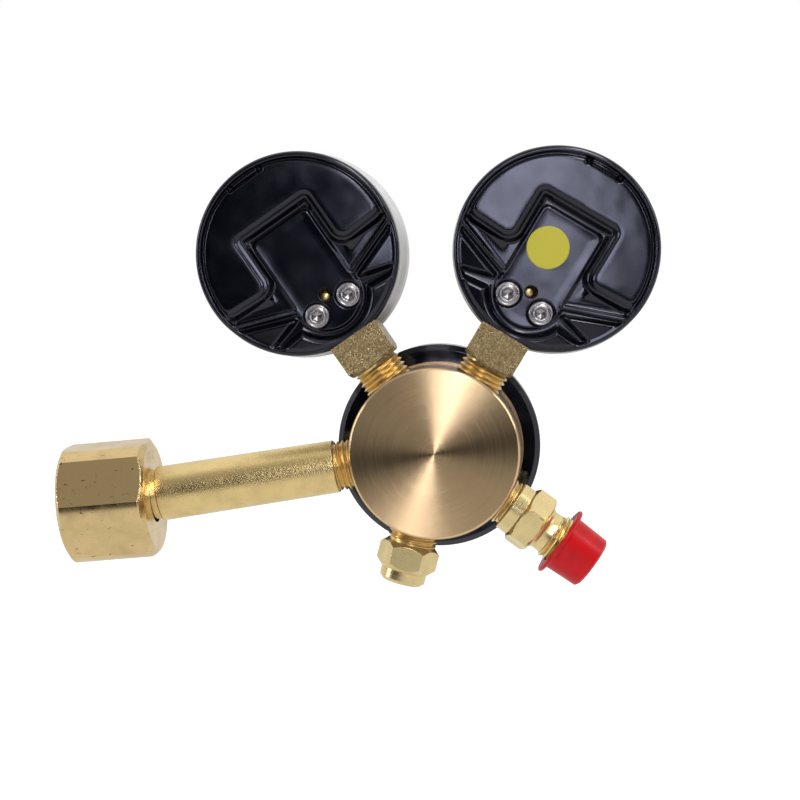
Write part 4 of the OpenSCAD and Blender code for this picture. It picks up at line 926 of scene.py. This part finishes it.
# the studio is unlit on the side it is looked into, so metal shows a dark floor there
spot = t.add("ShaderNodeSeparateXYZ", {0: t.add("ShaderNodeNewGeometry").outputs["Position"]}).outputs[1]
mirrored = t.add("ShaderNodeEmission", {"Color": t.blend(t.span(spot, 0.75, 1.05), (0.82, 0.82, 0.82),
                                                          (0.015, 0.015, 0.018))})
both = t.add("ShaderNodeMixShader", {0: path["Is Glossy Ray"], 1: both.outputs[0], 2: mirrored.outputs[0]})
t.put(floor_mat.node_tree.nodes["Material Output"].inputs["Surface"], both.outputs[0])
floor_mesh.materials.append(floor_mat)
floor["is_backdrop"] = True

world = bpy.data.worlds.new("studio")
bpy.context.scene.world = world
world.use_nodes = True
t = Tree(world.node_tree)
world.node_tree.nodes.clear()
path = t.add("ShaderNodeLightPath").outputs
seen = t.math("MAXIMUM", path["Is Camera Ray"], path["Is Transmission Ray"])
way = t.add("ShaderNodeTexCoord").outputs["Generated"]
parts = t.add("ShaderNodeSeparateXYZ", {0: way}).outputs
# a pale tent all round, open and dark in a level band on the side it is looked into
band = t.span(parts[2], 0.97, 0.86)
opening = t.math("MULTIPLY", t.span(parts[1], 0.0, 0.5), band)
above = t.span(parts[2], -0.6, 0.8, 0.0, 1.0)
tent = t.blend(above, (0.62, 0.62, 0.62), (0.95, 0.95, 0.96))
unlit = t.blend(t.span(parts[2], 0.30, 0.52), (0.008, 0.008, 0.012), (0.34, 0.33, 0.32))
tent = t.blend(opening, tent, unlit)
color = t.blend(seen, tent, (1, 1, 1))
sky = t.add("ShaderNodeBackground", {"Color": color, "Strength": 1.0})
t.put(t.add("ShaderNodeOutputWorld").inputs["Surface"], sky.outputs[0])


def lamp(name, where, target, size, radiance, tint, across=(1, 0, 0)):
    """Rectangular lamp of an even radiance, where 1 is white."""
    data = bpy.data.lights.new(name, "AREA")
    data.shape = "RECTANGLE"
    data.size, data.size_y = size
    data.energy = radiance * math.pi * size[0] * size[1]
    data.color = tint
    obj = bpy.data.objects.new(name, data)
    bpy.context.scene.collection.objects.link(obj)
    back = (Vector(where) - Vector(target)).normalized()
    side = (Vector(across) - Vector(across).dot(back) * back).normalized()
    obj.matrix_world = Matrix((side, back.cross(side), back)).transposed().to_4x4()
    obj.matrix_world.translation = where
    obj.visible_camera = False
    return obj


middle = (-REACH * MM, 0.0, 0.0)
cool, warm = (0.90, 0.93, 1.0), (1.0, 0.985, 0.96)
strip = (0.12, 0.40)
lamp("key", (-0.12, 0.62, 0.137), (-0.12, 0.0, 0.04), (0.11, 0.21), 7.0, (0.84, 0.86, 1.0))
lamp("overhead", (-0.342, 0.56, 0.503), middle, (0.12, 0.55), 12.0, warm, (0.888, 0, 0.452))
lamp("left", (0.62, 0.22, 0.30), middle, strip, 9.0, cool, (0, 1, 0))
lamp("right", (-0.80, 0.22, 0.25), middle, strip, 9.0, cool, (0, 1, 0))

bpy.context.scene.view_settings.view_transform = "Standard"

low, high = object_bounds()
